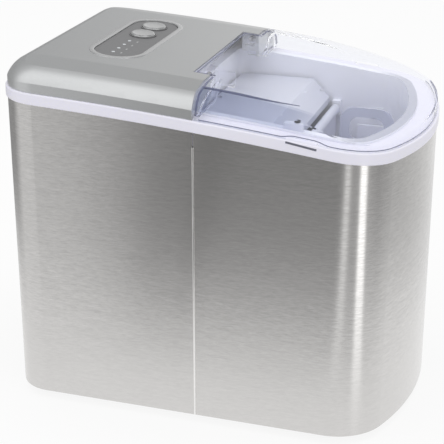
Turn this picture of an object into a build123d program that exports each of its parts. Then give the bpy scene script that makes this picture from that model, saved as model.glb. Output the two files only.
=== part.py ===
"""Countertop ice maker: steel casing, top frame, clear lid, cooling set and ice works.

Millimetres. Z is up, the bowed front faces -Y, X runs across, the floor is at z = 0.
"""

import math
import os

from build123d import *

os.makedirs("parts", exist_ok=True)

# Casing plan and heights above its own bottom edge
CASE_WIDTH = 245.0
CASE_DEPTH = 356.0
REAR_CORNER = 34.0
FRONT_CORNER = 48.0
FRONT_BOW = 32.0
FOOT_HEIGHT = 8.0
CASE_TOP_REAR = 275.0
CASE_TOP_FRONT = 243.0
ARCH_RISE = 4.5
SHEET = 1.0
SEAM_GAP = 0.8
HEM = 4.0
BOTTOM_FLANGE = 12.0

# Fits
PLAY = 0.3
PIN_PLAY = 0.06

# Top frame, rear cover and lid
RING_HEIGHT = 10.0
RING_PROUD = 1.5
RING_ROUND = 1.2
DECK = 3.0
SKIRT_DROP = 12.0
SKIRT_WALL = 2.0
TOP_RISE = 35.0
TOP_INSET = 0.5
COVER_WALL = 2.5
LID_WALL = 2.2
LID_GAP = 1.6
LID_LIFT = 0.4
ROLL_RADIUS = 30.0
ROLL_SPREAD = 2.7
ROLL_LIFT = 1.0
CROWN_START = -20.0
CROWN_PEAK = 7.0
CROWN_ACROSS = 580.0
CROWN_FALL = 500.0
FLAP_HALF = 71.0
FLAP_BACK = 14.5
FLAP_GAP = 1.6
HINGE_Y = 6.5
HINGE_DROP = 4.6
HINGE_PIN = 2.0
NOTCH_LENGTH = 26.0
NOTCH_HEIGHT = 2.4
NOTCH_Y = -91.0

# Control panel
PANEL_Y = 94.0
PANEL_LENGTH = 132.0
PANEL_WIDTH = 44.0
PANEL_DEPTH = 2.0
FASCIA = 1.4
BUTTON_RADIUS = 11.0
BUTTON_TRAVEL = 1.2
BUTTON_PROUD = 0.9
BUTTON_STEM = 3.5
POWER_X = 43.0
SELECT_X = 14.0
LENS_RADIUS = 1.6
LENS_PITCH = 13.0
LENS_FIRST_X = -51.0
LENS_Y = 3.0
LENS_COUNT = 4
BOARD = 1.6

# Base
PAN = 2.0
PAN_RIM = 9.0
PAN_RIM_WALL = 1.5
SCREW_REACH = 3.0
SIDE_SCREW_Y = (-60.0, 25.0)
REAR_SCREW_X = 50.0
FRONT_SCREW_X = 40.0
FOOT_RADIUS = 13.0
FOOT_SIDE_INSET = 37.5
FOOT_FRONT_INSET = 73.0
FOOT_REAR_INSET = 38.0
BASE_SCREW = 1.5

# Tub, basket and scoop
TUB_WALL = 2.5
TUB_MARGIN = 26.0
TUB_REAR_Y = 26.0
TUB_CORNER = 9.5
TUB_LIFT = 48.0
TUB_RIM = 5.0
TUB_RIM_THICK = 2.0
FOAM_DROP = 14.0
FOAM_RISE = 110.0
BASKET_GAP = 3.5
BASKET_WALL = 2.0
BASKET_DEPTH = 94.0
BASKET_BELOW_RING = 42.0
BASKET_REAR_Y = -76.0
LEDGE = 7.0
SCOOP_X = 52.0
SCOOP_SIDE_ROOM = 6.1
SCOOP_HEIGHT = 121.0
SCOOP_BOWL_HEIGHT = 62.0
SCOOP_BOWL_DEPTH = 26.0
SCOOP_WALL = 1.8
SCOOP_CORNER = 14.0

# Ice works, hung from the top edge
TRAY_AXIS_Y = -10.0
EVAP_BELOW_RING = 38.5
EVAP_THICK = 8.0
EVAP_ROOM = 30.5
FINGER_RADIUS = 6.5
FINGER_LENGTH = 46.0
FINGER_TIP_ROUND = 5.5
FINGER_PITCH = 28.0
FINGER_EDGE = 2.0
FINGER_BACK_Y = -26.0
FINGER_FRONT_Y = -44.0
AXIS_BELOW_EVAP = 18.0
TRAY_ROOM = 18.5
TRAY_WALL = 2.0
TRAY_DEPTH = 36.0
TRAY_BELOW_AXIS = 2.0
TRAY_BACK_Y = -16.0
TRAY_FRONT_Y = -63.5
TRAY_STUB = 4.0
SHOVEL_Y = -71.0
SHOVEL_ABOVE_AXIS = 22.0
SHOVEL_LENGTH = 31.0
SHOVEL_CLEAR = 3.0
BASKET_LIFT = 12.0
SHOVEL_PLATE = 2.0
SHOVEL_AXLE = 2.5
HOOD_RISE = 22.0

# Cooling set
BULK_GAP = 8.0
BULKHEAD = 1.2
COMP_SIDE_ROOM = 71.5
COMP_REAR_ROOM = 68.0
COMP_RADIUS = 50.0
COMP_HEIGHT = 129.0
GROMMET_HEIGHT = 8.0
COMP_PLATE = 2.0
COIL_RADIUS = 3.2
COIL_PASSES = 6
COIL_PITCH = 20.0
COIL_FIRST_UP = 25.0
FIN_BULK_GAP = 24.3
FIN_REAR_GAP = 20.0
FIN_PITCH = 4.3
FIN = 0.8
FIN_WIDTH = 26.0
FIN_HEIGHT = 139.0
FAN_FIN_GAP = 4.0
FAN_WALL_GAP = 5.5
FAN_UP = 75.0
FAN_BORE = 45.0
FAN_SQUARE = 100.0
FAN_DEPTH = 28.0
FAN_BLADE_GAP = 3.0
FAN_BLADES = 7
PIPE_BEND = 10.0
REAR_PIPE_INSET = 13.0
DRIER_X = 30.0
SUCTION_X = 4.0
CAPILLARY_X = 16.0
CAPILLARY_RADIUS = 1.2
PIPE_RADIUS = 3.2
PIPE_ROOM = 12.0
DRIER_RADIUS = 8.0
DRIER_LENGTH = 62.0

# Vents, gland and drain
SLOT_LENGTH = 26.0
SLOT_HEIGHT = 3.6
GLAND_SIDE_ROOM = 43.5
GLAND_UP = 30.0
GLAND_RADIUS = 8.0
GLAND_BORE = 3.6
DRAIN_Y = -100.0
DRAIN_RADIUS = 9.0
DRAIN_BORE = 6.5
CAP_RADIUS = 13.0
CAP_CLEAR = 1.5

# Places that follow from the sizes above
HALF_W = CASE_WIDTH / 2
HALF_D = CASE_DEPTH / 2
FRONT_R = (HALF_W**2 + FRONT_BOW**2) / (2 * FRONT_BOW)
FRONT_CENTRE_Y = FRONT_R - HALF_D
CORNER_X = HALF_W - FRONT_CORNER
CORNER_Y = FRONT_CENTRE_Y - math.sqrt((FRONT_R - FRONT_CORNER) ** 2 - CORNER_X**2)
INNER_X = HALF_W - SHEET
INNER_REAR = HALF_D - SHEET
TALL = FOOT_HEIGHT + CASE_TOP_REAR + 2 * TOP_RISE
PAN_Z = FOOT_HEIGHT + SHEET
FOOT_X = HALF_W - FOOT_SIDE_INSET
FOOT_FRONT_Y = FOOT_FRONT_INSET - HALF_D
FOOT_REAR_Y = HALF_D - FOOT_REAR_INSET
FLOOR_Z = PAN_Z + PAN
END_PLAY = 0.5
OVERCUT = 1.0


def arch_circle() -> tuple[float, float, float]:
    """Centre (y, z) and radius of the arched line of the casing's top edge."""
    rise = CASE_TOP_REAR - CASE_TOP_FRONT
    chord = math.hypot(CASE_DEPTH, rise)
    radius = (chord**2 / 4 + ARCH_RISE**2) / (2 * ARCH_RISE)
    mid_z = FOOT_HEIGHT + (CASE_TOP_REAR + CASE_TOP_FRONT) / 2
    down = radius - ARCH_RISE
    return down * rise / chord, mid_z - down * CASE_DEPTH / chord, radius


ARCH_Y, ARCH_Z, ARCH_R = arch_circle()


def level(y: float, lift: float = 0.0) -> float:
    """Height of the arched line at y, lifted square to itself."""
    return ARCH_Z + math.sqrt((ARCH_R + lift) ** 2 - (y - ARCH_Y) ** 2)


def front_y(x: float, grow: float) -> float:
    """Y of the bowed front at x, on the outline grown by grow."""
    return FRONT_CENTRE_Y - math.sqrt((FRONT_R + grow) ** 2 - x**2)


def outline(grow: float) -> Sketch:
    """Plan of the body, grown outwards by grow."""
    side = HALF_W + grow
    rear = HALF_D + grow
    rear_r = REAR_CORNER + grow
    front_r = FRONT_CORNER + grow
    lean = math.atan2(CORNER_X, FRONT_CENTRE_Y - CORNER_Y)
    join_x = CORNER_X + front_r * math.sin(lean)
    join_y = CORNER_Y - front_r * math.cos(lean)
    half_lean = (math.pi / 2 + lean) / 2
    mid_x = CORNER_X + front_r * math.sin(half_lean)
    mid_y = CORNER_Y - front_r * math.cos(half_lean)
    diagonal = rear_r * (1 - math.sqrt(0.5))
    with BuildSketch() as plan:
        with BuildLine():
            Line((side, CORNER_Y), (side, rear - rear_r))
            ThreePointArc((side, rear - rear_r), (side - diagonal, rear - diagonal), (side - rear_r, rear))
            Line((side - rear_r, rear), (rear_r - side, rear))
            ThreePointArc((rear_r - side, rear), (diagonal - side, rear - diagonal), (-side, rear - rear_r))
            Line((-side, rear - rear_r), (-side, CORNER_Y))
            ThreePointArc((-side, CORNER_Y), (-mid_x, mid_y), (-join_x, join_y))
            ThreePointArc((-join_x, join_y), (0, -HALF_D - grow), (join_x, join_y))
            ThreePointArc((join_x, join_y), (mid_x, mid_y), (side, CORNER_Y))
        make_face()
    return plan.sketch


def tub_plan(grow: float) -> Sketch:
    """Plan of the tub's inside, grown outwards by grow."""
    with BuildSketch() as plan:
        add(outline(grow - TUB_MARGIN))
        with Locations((0, TUB_REAR_Y + grow - CASE_DEPTH)):
            Rectangle(2 * CASE_WIDTH, 2 * CASE_DEPTH, mode=Mode.INTERSECT)
        fillet(plan.vertices().group_by(Axis.Y)[-1], TUB_CORNER + grow)
    return plan.sketch


def slab(low: float, high: float) -> Part:
    """Arched slab right across the body, between two lifts of the arched line."""
    end = CASE_DEPTH
    with BuildPart() as made:
        with BuildSketch(Plane.YZ):
            with BuildLine():
                ThreePointArc((end, level(end, low)), (0, level(0, low)), (-end, level(-end, low)))
                Line((-end, level(-end, low)), (-end, level(-end, high)))
                ThreePointArc((-end, level(-end, high)), (0, level(0, high)), (end, level(end, high)))
                Line((end, level(end, high)), (end, level(end, low)))
            make_face()
        extrude(amount=CASE_WIDTH, both=True)
    return made.part


def prism(plan: Sketch, low: float, high: float) -> Part:
    """Plan raised from height low to height high."""
    with BuildPart() as made:
        with BuildSketch(Plane.XY.offset(low)):
            add(plan)
        extrude(amount=high - low)
    return made.part


def band(plan: Sketch, low: float, high: float) -> Part:
    """Plan raised between two lifts of the arched line."""
    with BuildPart() as made:
        add(prism(plan, 0, TALL))
        add(slab(low, high), mode=Mode.INTERSECT)
    return made.part


def block(x: tuple, y: tuple, z: tuple) -> Part:
    """Box between the given ends along X, Y and Z."""
    with BuildPart() as made:
        with Locations(((x[0] + x[1]) / 2, (y[0] + y[1]) / 2, (z[0] + z[1]) / 2)):
            Box(x[1] - x[0], y[1] - y[0], z[1] - z[0])
    return made.part


def mirrored(side: int, near: float, far: float) -> tuple:
    """Ends along X of a piece on one side, in rising order."""
    return (min(side * near, side * far), max(side * near, side * far))


def peg(start: tuple, along: tuple, radius: float, length: float) -> Part:
    """Round bar from start, length long, in the direction along."""
    with BuildPart() as made:
        with BuildSketch(Plane(origin=start, z_dir=along)):
            Circle(radius)
        extrude(amount=length)
    return made.part


def pipe(points: list, radius: float, bend: float) -> Part:
    """Bent tube, solid, along the points with rounded corners."""
    first = Vector(*points[0])
    way = Vector(*points[1]) - first
    with BuildPart() as made:
        with BuildLine() as path:
            FilletPolyline(*points, radius=bend)
        with BuildSketch(Plane(origin=first, z_dir=way)):
            Circle(radius)
        sweep(path=path.wires()[0])
    return made.part


def crown(inset: float) -> Part:
    """Everything under the crowned top of cover and lid, lowered square to itself by inset."""
    start = Vector(0, CROWN_START, level(CROWN_START, TOP_RISE))
    up = (start - Vector(0, ARCH_Y, ARCH_Z)).normalized()
    across = Vector(1, 0, 0)
    side = CASE_WIDTH
    drop = CROWN_ACROSS - inset - math.sqrt((CROWN_ACROSS - inset) ** 2 - side**2)
    with BuildPart() as made:
        for fall, way in ((ARCH_R + TOP_RISE, -1), (CROWN_FALL, 1)):
            centre = start - up * fall
            peak = fall + CROWN_PEAK - inset
            low = fall - TALL
            with BuildSketch(Plane(origin=centre, x_dir=across, z_dir=across.cross(up))):
                with BuildLine():
                    ThreePointArc((-side, peak - drop), (0, peak), (side, peak - drop))
                    Polyline((side, peak - drop), (side, low), (-side, low), (-side, peak - drop))
                make_face()
            revolve(axis=Axis(centre, across * way), revolution_arc=math.degrees(CASE_DEPTH / fall))
    return made.part


def dome(inset: float) -> Part:
    """Solid of the rolled top, cover and lid in one, lowered square to itself by inset."""
    with BuildPart() as made:
        with BuildSketch():
            add(outline(ROLL_SPREAD - TOP_INSET - inset))
        extrude(amount=TALL)
        add(slab(0, TOP_RISE + ROLL_LIFT - inset), mode=Mode.INTERSECT)
        fillet(made.faces().sort_by(Axis.Z)[-1].edges(), ROLL_RADIUS - inset)
        add(prism(outline(-TOP_INSET - inset), 0, TALL), mode=Mode.INTERSECT)
        add(slab(0, TOP_RISE - inset), mode=Mode.INTERSECT)
        add(crown(inset), mode=Mode.INTERSECT)
    return made.part


def finish_part(part: Part, name: str) -> None:
    """Label a finished piece and write its file."""
    part.label = name
    export_step(part, f"parts/{name}.step")


# Planes and heights that several pieces share
PANEL_NORMAL = Vector(0, PANEL_Y - ARCH_Y, level(PANEL_Y, TOP_RISE) - ARCH_Z).normalized()
PANEL_TOP = Vector(0, PANEL_Y, level(PANEL_Y, TOP_RISE))
PANEL_PLANE = Plane(origin=PANEL_TOP, x_dir=(1, 0, 0), z_dir=PANEL_NORMAL)
HINGE_Z = level(HINGE_Y, TOP_RISE) - HINGE_DROP
TUB_BOTTOM = FLOOR_Z + TUB_LIFT
TUB_FLOOR = TUB_BOTTOM + TUB_WALL
TUB_SIDE = HALF_W - TUB_MARGIN
TUB_TOP_LIFT = RING_HEIGHT + TUB_RIM_THICK
EVAP_Z = level(TRAY_AXIS_Y) - EVAP_BELOW_RING
EVAP_TOP = EVAP_Z + EVAP_THICK
AXIS_Z = EVAP_Z - AXIS_BELOW_EVAP
TRAY_TOP = AXIS_Z - TRAY_BELOW_AXIS
TRAY_BOTTOM = TRAY_TOP - TRAY_DEPTH
BASKET_RIM = level(BASKET_REAR_Y) - BASKET_BELOW_RING
BASKET_BOTTOM = BASKET_RIM - BASKET_DEPTH
BASKET_FLOOR = BASKET_BOTTOM + BASKET_WALL
SHOVEL_Z = AXIS_Z + SHOVEL_ABOVE_AXIS
BULK_Y = TUB_REAR_Y + TUB_WALL + BULK_GAP
PIPE_NOTCH = (SUCTION_X - PIPE_ROOM, CAPILLARY_X + PIPE_ROOM)
COMP_X = COMP_SIDE_ROOM - INNER_X
COMP_Y = INNER_REAR - COMP_REAR_ROOM
EVAP_HALF = TUB_SIDE - EVAP_ROOM
TRAY_HALF = TUB_SIDE - TRAY_ROOM
GLAND_X = GLAND_SIDE_ROOM - INNER_X
REAR_PIPE_Y = INNER_REAR - REAR_PIPE_INSET
FAN_X = (INNER_X - FAN_WALL_GAP - FAN_DEPTH, INNER_X - FAN_WALL_GAP)
COIL_X = FAN_X[0] - FAN_FIN_GAP - FIN_WIDTH / 2
FIN_FIRST_Y = BULK_Y + BULKHEAD + FIN_BULK_GAP
FIN_COUNT = int((REAR_PIPE_Y - FIN_REAR_GAP - FIN_FIRST_Y) / FIN_PITCH) + 1
FIN_LAST_Y = FIN_FIRST_Y + FIN_PITCH * (FIN_COUNT - 1)
FAN_Y = (FIN_FIRST_Y + FIN_LAST_Y) / 2
FAN_Z = FLOOR_Z + FAN_UP
GLAND_Z = FLOOR_Z + GLAND_UP

# Base pan, with holes for everything that passes through it
FOOT_SPOTS = [(x, y) for x in (-FOOT_X, FOOT_X) for y in (FOOT_FRONT_Y, FOOT_REAR_Y)]
SCREW_INSET = BOTTOM_FLANGE / 2
BASE_SCREW_SPOTS = [(side * (HALF_W - SCREW_INSET), y) for side in (-1, 1) for y in SIDE_SCREW_Y]
BASE_SCREW_SPOTS += [(x, HALF_D - SCREW_INSET) for x in (-REAR_SCREW_X, REAR_SCREW_X)]
BASE_SCREW_SPOTS += [(x, front_y(x, -SCREW_INSET)) for x in (-FRONT_SCREW_X, FRONT_SCREW_X)]
COMP_BOLT_X = 46.0
COMP_BOLT_Y = 36.0
COMP_BOLT = 3.0
COMP_BOLT_SPOTS = [(COMP_X + x * COMP_BOLT_X, COMP_Y + y * COMP_BOLT_Y) for x in (-1, 1) for y in (-1, 1)]
FOOT_SCREW = 2.0

with BuildPart() as base_pan:
    add(prism(outline(-SHEET - PLAY), PAN_Z, PAN_Z + PAN_RIM))
    add(prism(outline(-SHEET - PLAY - PAN_RIM_WALL), FLOOR_Z, TALL), mode=Mode.SUBTRACT)
    with BuildSketch(Plane.XY.offset(PAN_Z)):
        with Locations(*FOOT_SPOTS):
            Circle(FOOT_SCREW + PIN_PLAY)
        with Locations(*BASE_SCREW_SPOTS):
            Circle(BASE_SCREW + PIN_PLAY)
        with Locations(*COMP_BOLT_SPOTS):
            Circle(COMP_BOLT + PIN_PLAY)
        with Locations((0, DRAIN_Y)):
            Circle(DRAIN_RADIUS + PLAY)
    extrude(amount=PAN, mode=Mode.SUBTRACT)
finish_part(base_pan.part, "base_pan")

# Rubber feet and their screws
FOOT_TAPER = 2.0
FOOT_RECESS = 4.5
FOOT_RECESS_DEPTH = 4.5
with BuildPart() as rubber_feet:
    for spot in FOOT_SPOTS:
        with BuildSketch(Plane.XY):
            with Locations(spot):
                Circle(FOOT_RADIUS - FOOT_TAPER)
        with BuildSketch(Plane.XY.offset(PAN_Z)):
            with Locations(spot):
                Circle(FOOT_RADIUS)
        loft()
    with BuildSketch(Plane.XY):
        with Locations(*FOOT_SPOTS):
            Circle(FOOT_RECESS)
    extrude(amount=FOOT_RECESS_DEPTH, mode=Mode.SUBTRACT)
    with BuildSketch(Plane.XY):
        with Locations(*FOOT_SPOTS):
            Circle(FOOT_SCREW + PIN_PLAY)
    extrude(amount=PAN_Z, mode=Mode.SUBTRACT)
finish_part(rubber_feet.part, "rubber_feet")

FOOT_HEAD = 4.0
FOOT_HEAD_HEIGHT = 2.4
with BuildPart() as foot_screws:
    with BuildSketch(Plane.XY.offset(FOOT_RECESS_DEPTH - FOOT_HEAD_HEIGHT)):
        with Locations(*FOOT_SPOTS):
            Circle(FOOT_HEAD)
    extrude(amount=FOOT_HEAD_HEIGHT)
    with BuildSketch(Plane.XY.offset(FOOT_RECESS_DEPTH)):
        with Locations(*FOOT_SPOTS):
            Circle(FOOT_SCREW)
    extrude(amount=FLOOR_Z + SCREW_REACH - FOOT_RECESS_DEPTH)
finish_part(foot_screws.part, "foot_screws")

# Casing sheets, split at the side seams
HEM_CLEAR = 2.0
HEM_LOW = PAN_Z + PAN_RIM + HEM_CLEAR
HEM_TOP_DROP = SKIRT_DROP + HEM_CLEAR
FAR = 2 * CASE_DEPTH


def casing_half(toward: int) -> Part:
    """One U-shaped sheet with its bottom flange and seam hems, toward the rear (+1) or the front (-1)."""
    near = SEAM_GAP / 2 * toward
    beyond = FAR * toward
    span = (min(near, beyond), max(near, beyond))
    hem_span = (min(near, near + SHEET * toward), max(near, near + SHEET * toward))
    with BuildPart() as made:
        add(prism(outline(0), FOOT_HEIGHT, TALL))
        add(prism(outline(-SHEET), FOOT_HEIGHT + SHEET, TALL), mode=Mode.SUBTRACT)
        add(prism(outline(-BOTTOM_FLANGE), FOOT_HEIGHT, PAN_Z), mode=Mode.SUBTRACT)
        add(slab(-TALL, 0), mode=Mode.INTERSECT)
        add(block((-CASE_WIDTH, CASE_WIDTH), span, (0, TALL)), mode=Mode.INTERSECT)
        for side in (-1, 1):
            hem = mirrored(side, INNER_X - HEM, HALF_W - SHEET / 2)
            add(block(hem, hem_span, (HEM_LOW, level(0, -HEM_TOP_DROP))))
        with BuildSketch(Plane.XY.offset(FOOT_HEIGHT)):
            with Locations(*BASE_SCREW_SPOTS):
                Circle(BASE_SCREW + PIN_PLAY)
        extrude(amount=SHEET, mode=Mode.SUBTRACT)
    return made.part


with BuildPart() as front_casing:
    add(casing_half(-1))
finish_part(front_casing.part, "front_casing")

GRILLE_CORNER = 6.0
GRILLE_LIP = 4.0
REAR_GRILLE = (2 * (HALF_W - REAR_CORNER - GRILLE_LIP), 96.0)
REAR_GRILLE_Z = 150.0
SIDE_GRILLE = (2 * (HALF_D - REAR_CORNER - GRILLE_LIP - FAN_Y), 100.0)
with BuildPart() as rear_casing:
    add(casing_half(1))
    with BuildSketch(Plane.XZ.offset(-HALF_D - SHEET)):
        with Locations((0, REAR_GRILLE_Z)):
            RectangleRounded(*REAR_GRILLE, GRILLE_CORNER)
        with Locations((GLAND_X, GLAND_Z)):
            Circle(GLAND_RADIUS + PIN_PLAY)
    extrude(amount=3 * SHEET, mode=Mode.SUBTRACT)
    with BuildSketch(Plane.YZ.offset(HALF_W + SHEET)):
        with Locations((FAN_Y, FAN_Z)):
            RectangleRounded(*SIDE_GRILLE, GRILLE_CORNER)
    extrude(amount=-3 * SHEET, mode=Mode.SUBTRACT)
finish_part(rear_casing.part, "rear_casing")

# Vent grilles that snap into the casing's cut-outs from inside
GRILLE_LIP_DEPTH = 1.6
SLOT_PITCH = 9.0
SLOT_ROW = 32.0
SLOT_BORDER = 5.0


def slot_grid(wide: float, tall: float) -> Sketch:
    """Rows of vent slots that fill a panel of the given size."""
    columns = int((wide - 2 * SLOT_BORDER - SLOT_LENGTH) / SLOT_ROW) + 1
    rows = int((tall - 2 * SLOT_BORDER - SLOT_HEIGHT) / SLOT_PITCH) + 1
    with BuildSketch() as plan:
        with GridLocations(SLOT_ROW, SLOT_PITCH, columns, rows):
            SlotOverall(SLOT_LENGTH, SLOT_HEIGHT)
    return plan.sketch


def grille(face: Plane, size: tuple) -> Part:
    """Slotted panel flush with the sheet's outside, with a lip behind the sheet."""
    lip = (size[0] + 2 * GRILLE_LIP, size[1] + 2 * GRILLE_LIP)
    with BuildPart() as made:
        with BuildSketch(face):
            RectangleRounded(size[0] - 2 * PLAY, size[1] - 2 * PLAY, GRILLE_CORNER - PLAY)
        extrude(amount=-SHEET)
        with BuildSketch(face.offset(-SHEET)):
            RectangleRounded(*lip, GRILLE_CORNER + GRILLE_LIP)
        extrude(amount=-GRILLE_LIP_DEPTH)
        with BuildSketch(face):
            add(slot_grid(*size))
        extrude(amount=-SHEET - GRILLE_LIP_DEPTH, mode=Mode.SUBTRACT)
    return made.part


with BuildPart() as rear_grille:
    add(grille(Plane(origin=(0, HALF_D, REAR_GRILLE_Z), x_dir=(-1, 0, 0), z_dir=(0, 1, 0)), REAR_GRILLE))
finish_part(rear_grille.part, "rear_grille")

with BuildPart() as side_grille:
    add(grille(Plane(origin=(HALF_W, FAN_Y, FAN_Z), x_dir=(0, 1, 0), z_dir=(1, 0, 0)), SIDE_GRILLE))
finish_part(side_grille.part, "side_grille")

BASE_HEAD = 3.0
BASE_HEAD_HEIGHT = 1.8
with BuildPart() as base_screws:
    with BuildSketch(Plane.XY.offset(FOOT_HEIGHT - BASE_HEAD_HEIGHT)):
        with Locations(*BASE_SCREW_SPOTS):
            Circle(BASE_HEAD)
    extrude(amount=BASE_HEAD_HEIGHT)
    with BuildSketch(Plane.XY.offset(FOOT_HEIGHT)):
        with Locations(*BASE_SCREW_SPOTS):
            Circle(BASE_SCREW)
    extrude(amount=FLOOR_Z + SCREW_REACH - FOOT_HEIGHT)
finish_part(base_screws.part, "base_screws")

# Top frame: white ring on the casing's edge, with its deck and the two openings
DECK_REAR_MARGIN = 12.0
REAR_OPEN_Y = BULK_Y
with BuildPart() as top_frame:
    add(band(outline(RING_PROUD), 0, RING_HEIGHT))
    rims = top_frame.faces().sort_by(Axis.Z)
    fillet(rims[0].edges() + rims[-1].edges(), RING_ROUND)
    add(band(outline(-SHEET - PLAY), -SKIRT_DROP, 0))
    hollow = outline(-SHEET - PLAY - SKIRT_WALL)
    add(band(hollow, -SKIRT_DROP - OVERCUT, RING_HEIGHT - DECK), mode=Mode.SUBTRACT)
    add(prism(tub_plan(TUB_WALL + PLAY), 0, TALL), mode=Mode.SUBTRACT)
    with BuildSketch(Plane.XY):
        add(outline(-DECK_REAR_MARGIN))
        with Locations((0, REAR_OPEN_Y + CASE_DEPTH)):
            Rectangle(2 * CASE_WIDTH, 2 * CASE_DEPTH, mode=Mode.INTERSECT)
    extrude(amount=TALL, mode=Mode.SUBTRACT)
finish_part(top_frame.part, "top_frame")

# Tub: liner with the water reservoir in its bottom
LEDGE_HEIGHT = 6.0
LEDGE_Y = (BASKET_REAR_Y - 36.0, BASKET_REAR_Y - 8.0)
NOTCH_BELOW_EVAP = 3.0
NOTCH_Z = EVAP_Z - NOTCH_BELOW_EVAP
STUB_HOLE = 6.5
with BuildPart() as tub:
    add(prism(tub_plan(TUB_WALL), TUB_BOTTOM, TALL))
    add(slab(-TALL, TUB_TOP_LIFT), mode=Mode.INTERSECT)
    add(band(tub_plan(TUB_WALL + TUB_RIM), RING_HEIGHT, TUB_TOP_LIFT))
    add(prism(tub_plan(0), TUB_FLOOR, TALL), mode=Mode.SUBTRACT)
    for side in (-1, 1):
        ledge = mirrored(side, TUB_SIDE - LEDGE, TUB_SIDE + TUB_WALL / 2)
        add(block(ledge, LEDGE_Y, (BASKET_BOTTOM - LEDGE_HEIGHT, BASKET_BOTTOM)))
        stub_start = (side * (TUB_SIDE - OVERCUT), TRAY_AXIS_Y, AXIS_Z)
        add(peg(stub_start, (side, 0, 0), STUB_HOLE, TUB_WALL + 2 * OVERCUT), mode=Mode.SUBTRACT)
    notch_y = (TUB_REAR_Y - OVERCUT, TUB_REAR_Y + TUB_WALL + TUB_RIM + OVERCUT)
    add(block(PIPE_NOTCH, notch_y, (NOTCH_Z, TALL)), mode=Mode.SUBTRACT)
    drain_start = (0, DRAIN_Y, TUB_BOTTOM - OVERCUT)
    add(peg(drain_start, (0, 0, 1), DRAIN_BORE, TUB_WALL + 2 * OVERCUT), mode=Mode.SUBTRACT)
finish_part(tub.part, "tub")

# Foam jacket round the lower tub
FOAM_GAP = 1.0
FOAM_OUT = SHEET + HEM + FOAM_GAP
with BuildPart() as foam_jacket:
    with BuildSketch(Plane.XY.offset(TUB_BOTTOM - FOAM_DROP)):
        add(outline(-FOAM_OUT))
        with Locations((0, BULK_Y - FOAM_GAP - CASE_DEPTH)):
            Rectangle(2 * CASE_WIDTH, 2 * CASE_DEPTH, mode=Mode.INTERSECT)
    extrude(amount=FOAM_DROP + FOAM_RISE)
    add(prism(tub_plan(TUB_WALL + PLAY), TUB_BOTTOM, TALL), mode=Mode.SUBTRACT)
    add(peg((0, DRAIN_Y, 0), (0, 0, 1), DRAIN_RADIUS + PLAY, TALL), mode=Mode.SUBTRACT)
finish_part(foam_jacket.part, "foam_jacket")

# Drain pipe under the tub and its quarter-turn cap
CAP_TOP = PAN_Z - PLAY
CAP_FLOOR = 3.0
PIPE_LOW = CAP_CLEAR + CAP_FLOOR + PLAY
CAP_SOCKET_PLAY = 0.08
with BuildPart() as drain_pipe:
    add(peg((0, DRAIN_Y, PIPE_LOW), (0, 0, 1), DRAIN_RADIUS, TUB_BOTTOM - PIPE_LOW))
    add(peg((0, DRAIN_Y, 0), (0, 0, 1), DRAIN_BORE, TUB_BOTTOM), mode=Mode.SUBTRACT)
finish_part(drain_pipe.part, "drain_pipe")

CAP_SLOT = (18.0, 2.6, 1.4)
with BuildPart() as drain_cap:
    add(peg((0, DRAIN_Y, CAP_CLEAR), (0, 0, 1), CAP_RADIUS, CAP_TOP - CAP_CLEAR))
    add(
        peg((0, DRAIN_Y, CAP_CLEAR + CAP_FLOOR), (0, 0, 1), DRAIN_RADIUS + CAP_SOCKET_PLAY, CAP_TOP),
        mode=Mode.SUBTRACT,
    )
    with Locations((0, DRAIN_Y, CAP_CLEAR)):
        Box(*CAP_SLOT, align=(Align.CENTER, Align.CENTER, Align.MIN), mode=Mode.SUBTRACT)
finish_part(drain_cap.part, "drain_cap")

# Bulkhead between the tub and the cooling set
BULK_SIDE_GAP = 2.0
BULK_HALF = HALF_W - SHEET - SKIRT_WALL - BULK_SIDE_GAP
BULK_FOOT = 9.0
BULK_FOOT_INSET = 4.0
BULK_FOOT_X = (BULK_FOOT_INSET - BULK_HALF, FAN_X[0] - BULK_FOOT_INSET)
with BuildPart() as bulkhead:
    add(block((-BULK_HALF, BULK_HALF), (BULK_Y, BULK_Y + BULKHEAD), (FLOOR_Z, level(BULK_Y))))
    add(block(BULK_FOOT_X, (BULK_Y, BULK_Y + BULK_FOOT), (FLOOR_Z, FLOOR_Z + BULKHEAD)))
    notch_y = (BULK_Y - OVERCUT, BULK_Y + BULKHEAD + OVERCUT)
    add(block(PIPE_NOTCH, notch_y, (NOTCH_Z, TALL)), mode=Mode.SUBTRACT)
finish_part(bulkhead.part, "bulkhead")

# Rear cover: rolled shell with the panel pocket, hinge cheeks and screw bosses
COVER_EDGE = LID_GAP / 2
NOTCH_HALF = FLAP_HALF + FLAP_GAP
NOTCH_BACK = FLAP_BACK + FLAP_GAP
CHEEK = 4.5
CHEEK_DROP = 13.0
CHEEK_BACK = 17.0
END_WALL = 2.5
RIM_CLEAR = 1.0
BOSS_RADIUS = 4.0
BOSS_INSET = 34.5
BOSS_FRONT_Y = 58.0
BOSS_REAR_INSET = 38.0
BOSS_X = HALF_W - BOSS_INSET
BOSS_REAR_Y = HALF_D - BOSS_REAR_INSET
BOSS_SPOTS = [(x, y) for x in (-BOSS_X, BOSS_X) for y in (BOSS_FRONT_Y, BOSS_REAR_Y)]
POST_RADIUS = 2.6
POST_X = 57.0
POST_Y = 14.0
POST_SPOTS = [(x * POST_X, y * POST_Y) for x in (-1, 1) for y in (-1, 1)]
TOP_REGION = 3 * TOP_RISE
POCKET_MARGIN = 4.0
POCKET_FLOOR = 2.5
BOARD_GAP = 7.0
BOARD_DROP = PANEL_DEPTH + POCKET_FLOOR + BOARD_GAP
LENS_SPOTS = [(LENS_FIRST_X + LENS_PITCH * step, LENS_Y) for step in range(LENS_COUNT)]
BUTTON_SPOTS = [(POWER_X, 0.0), (SELECT_X, 0.0)]
STEM_HOLE = BUTTON_STEM + PIN_PLAY


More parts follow.
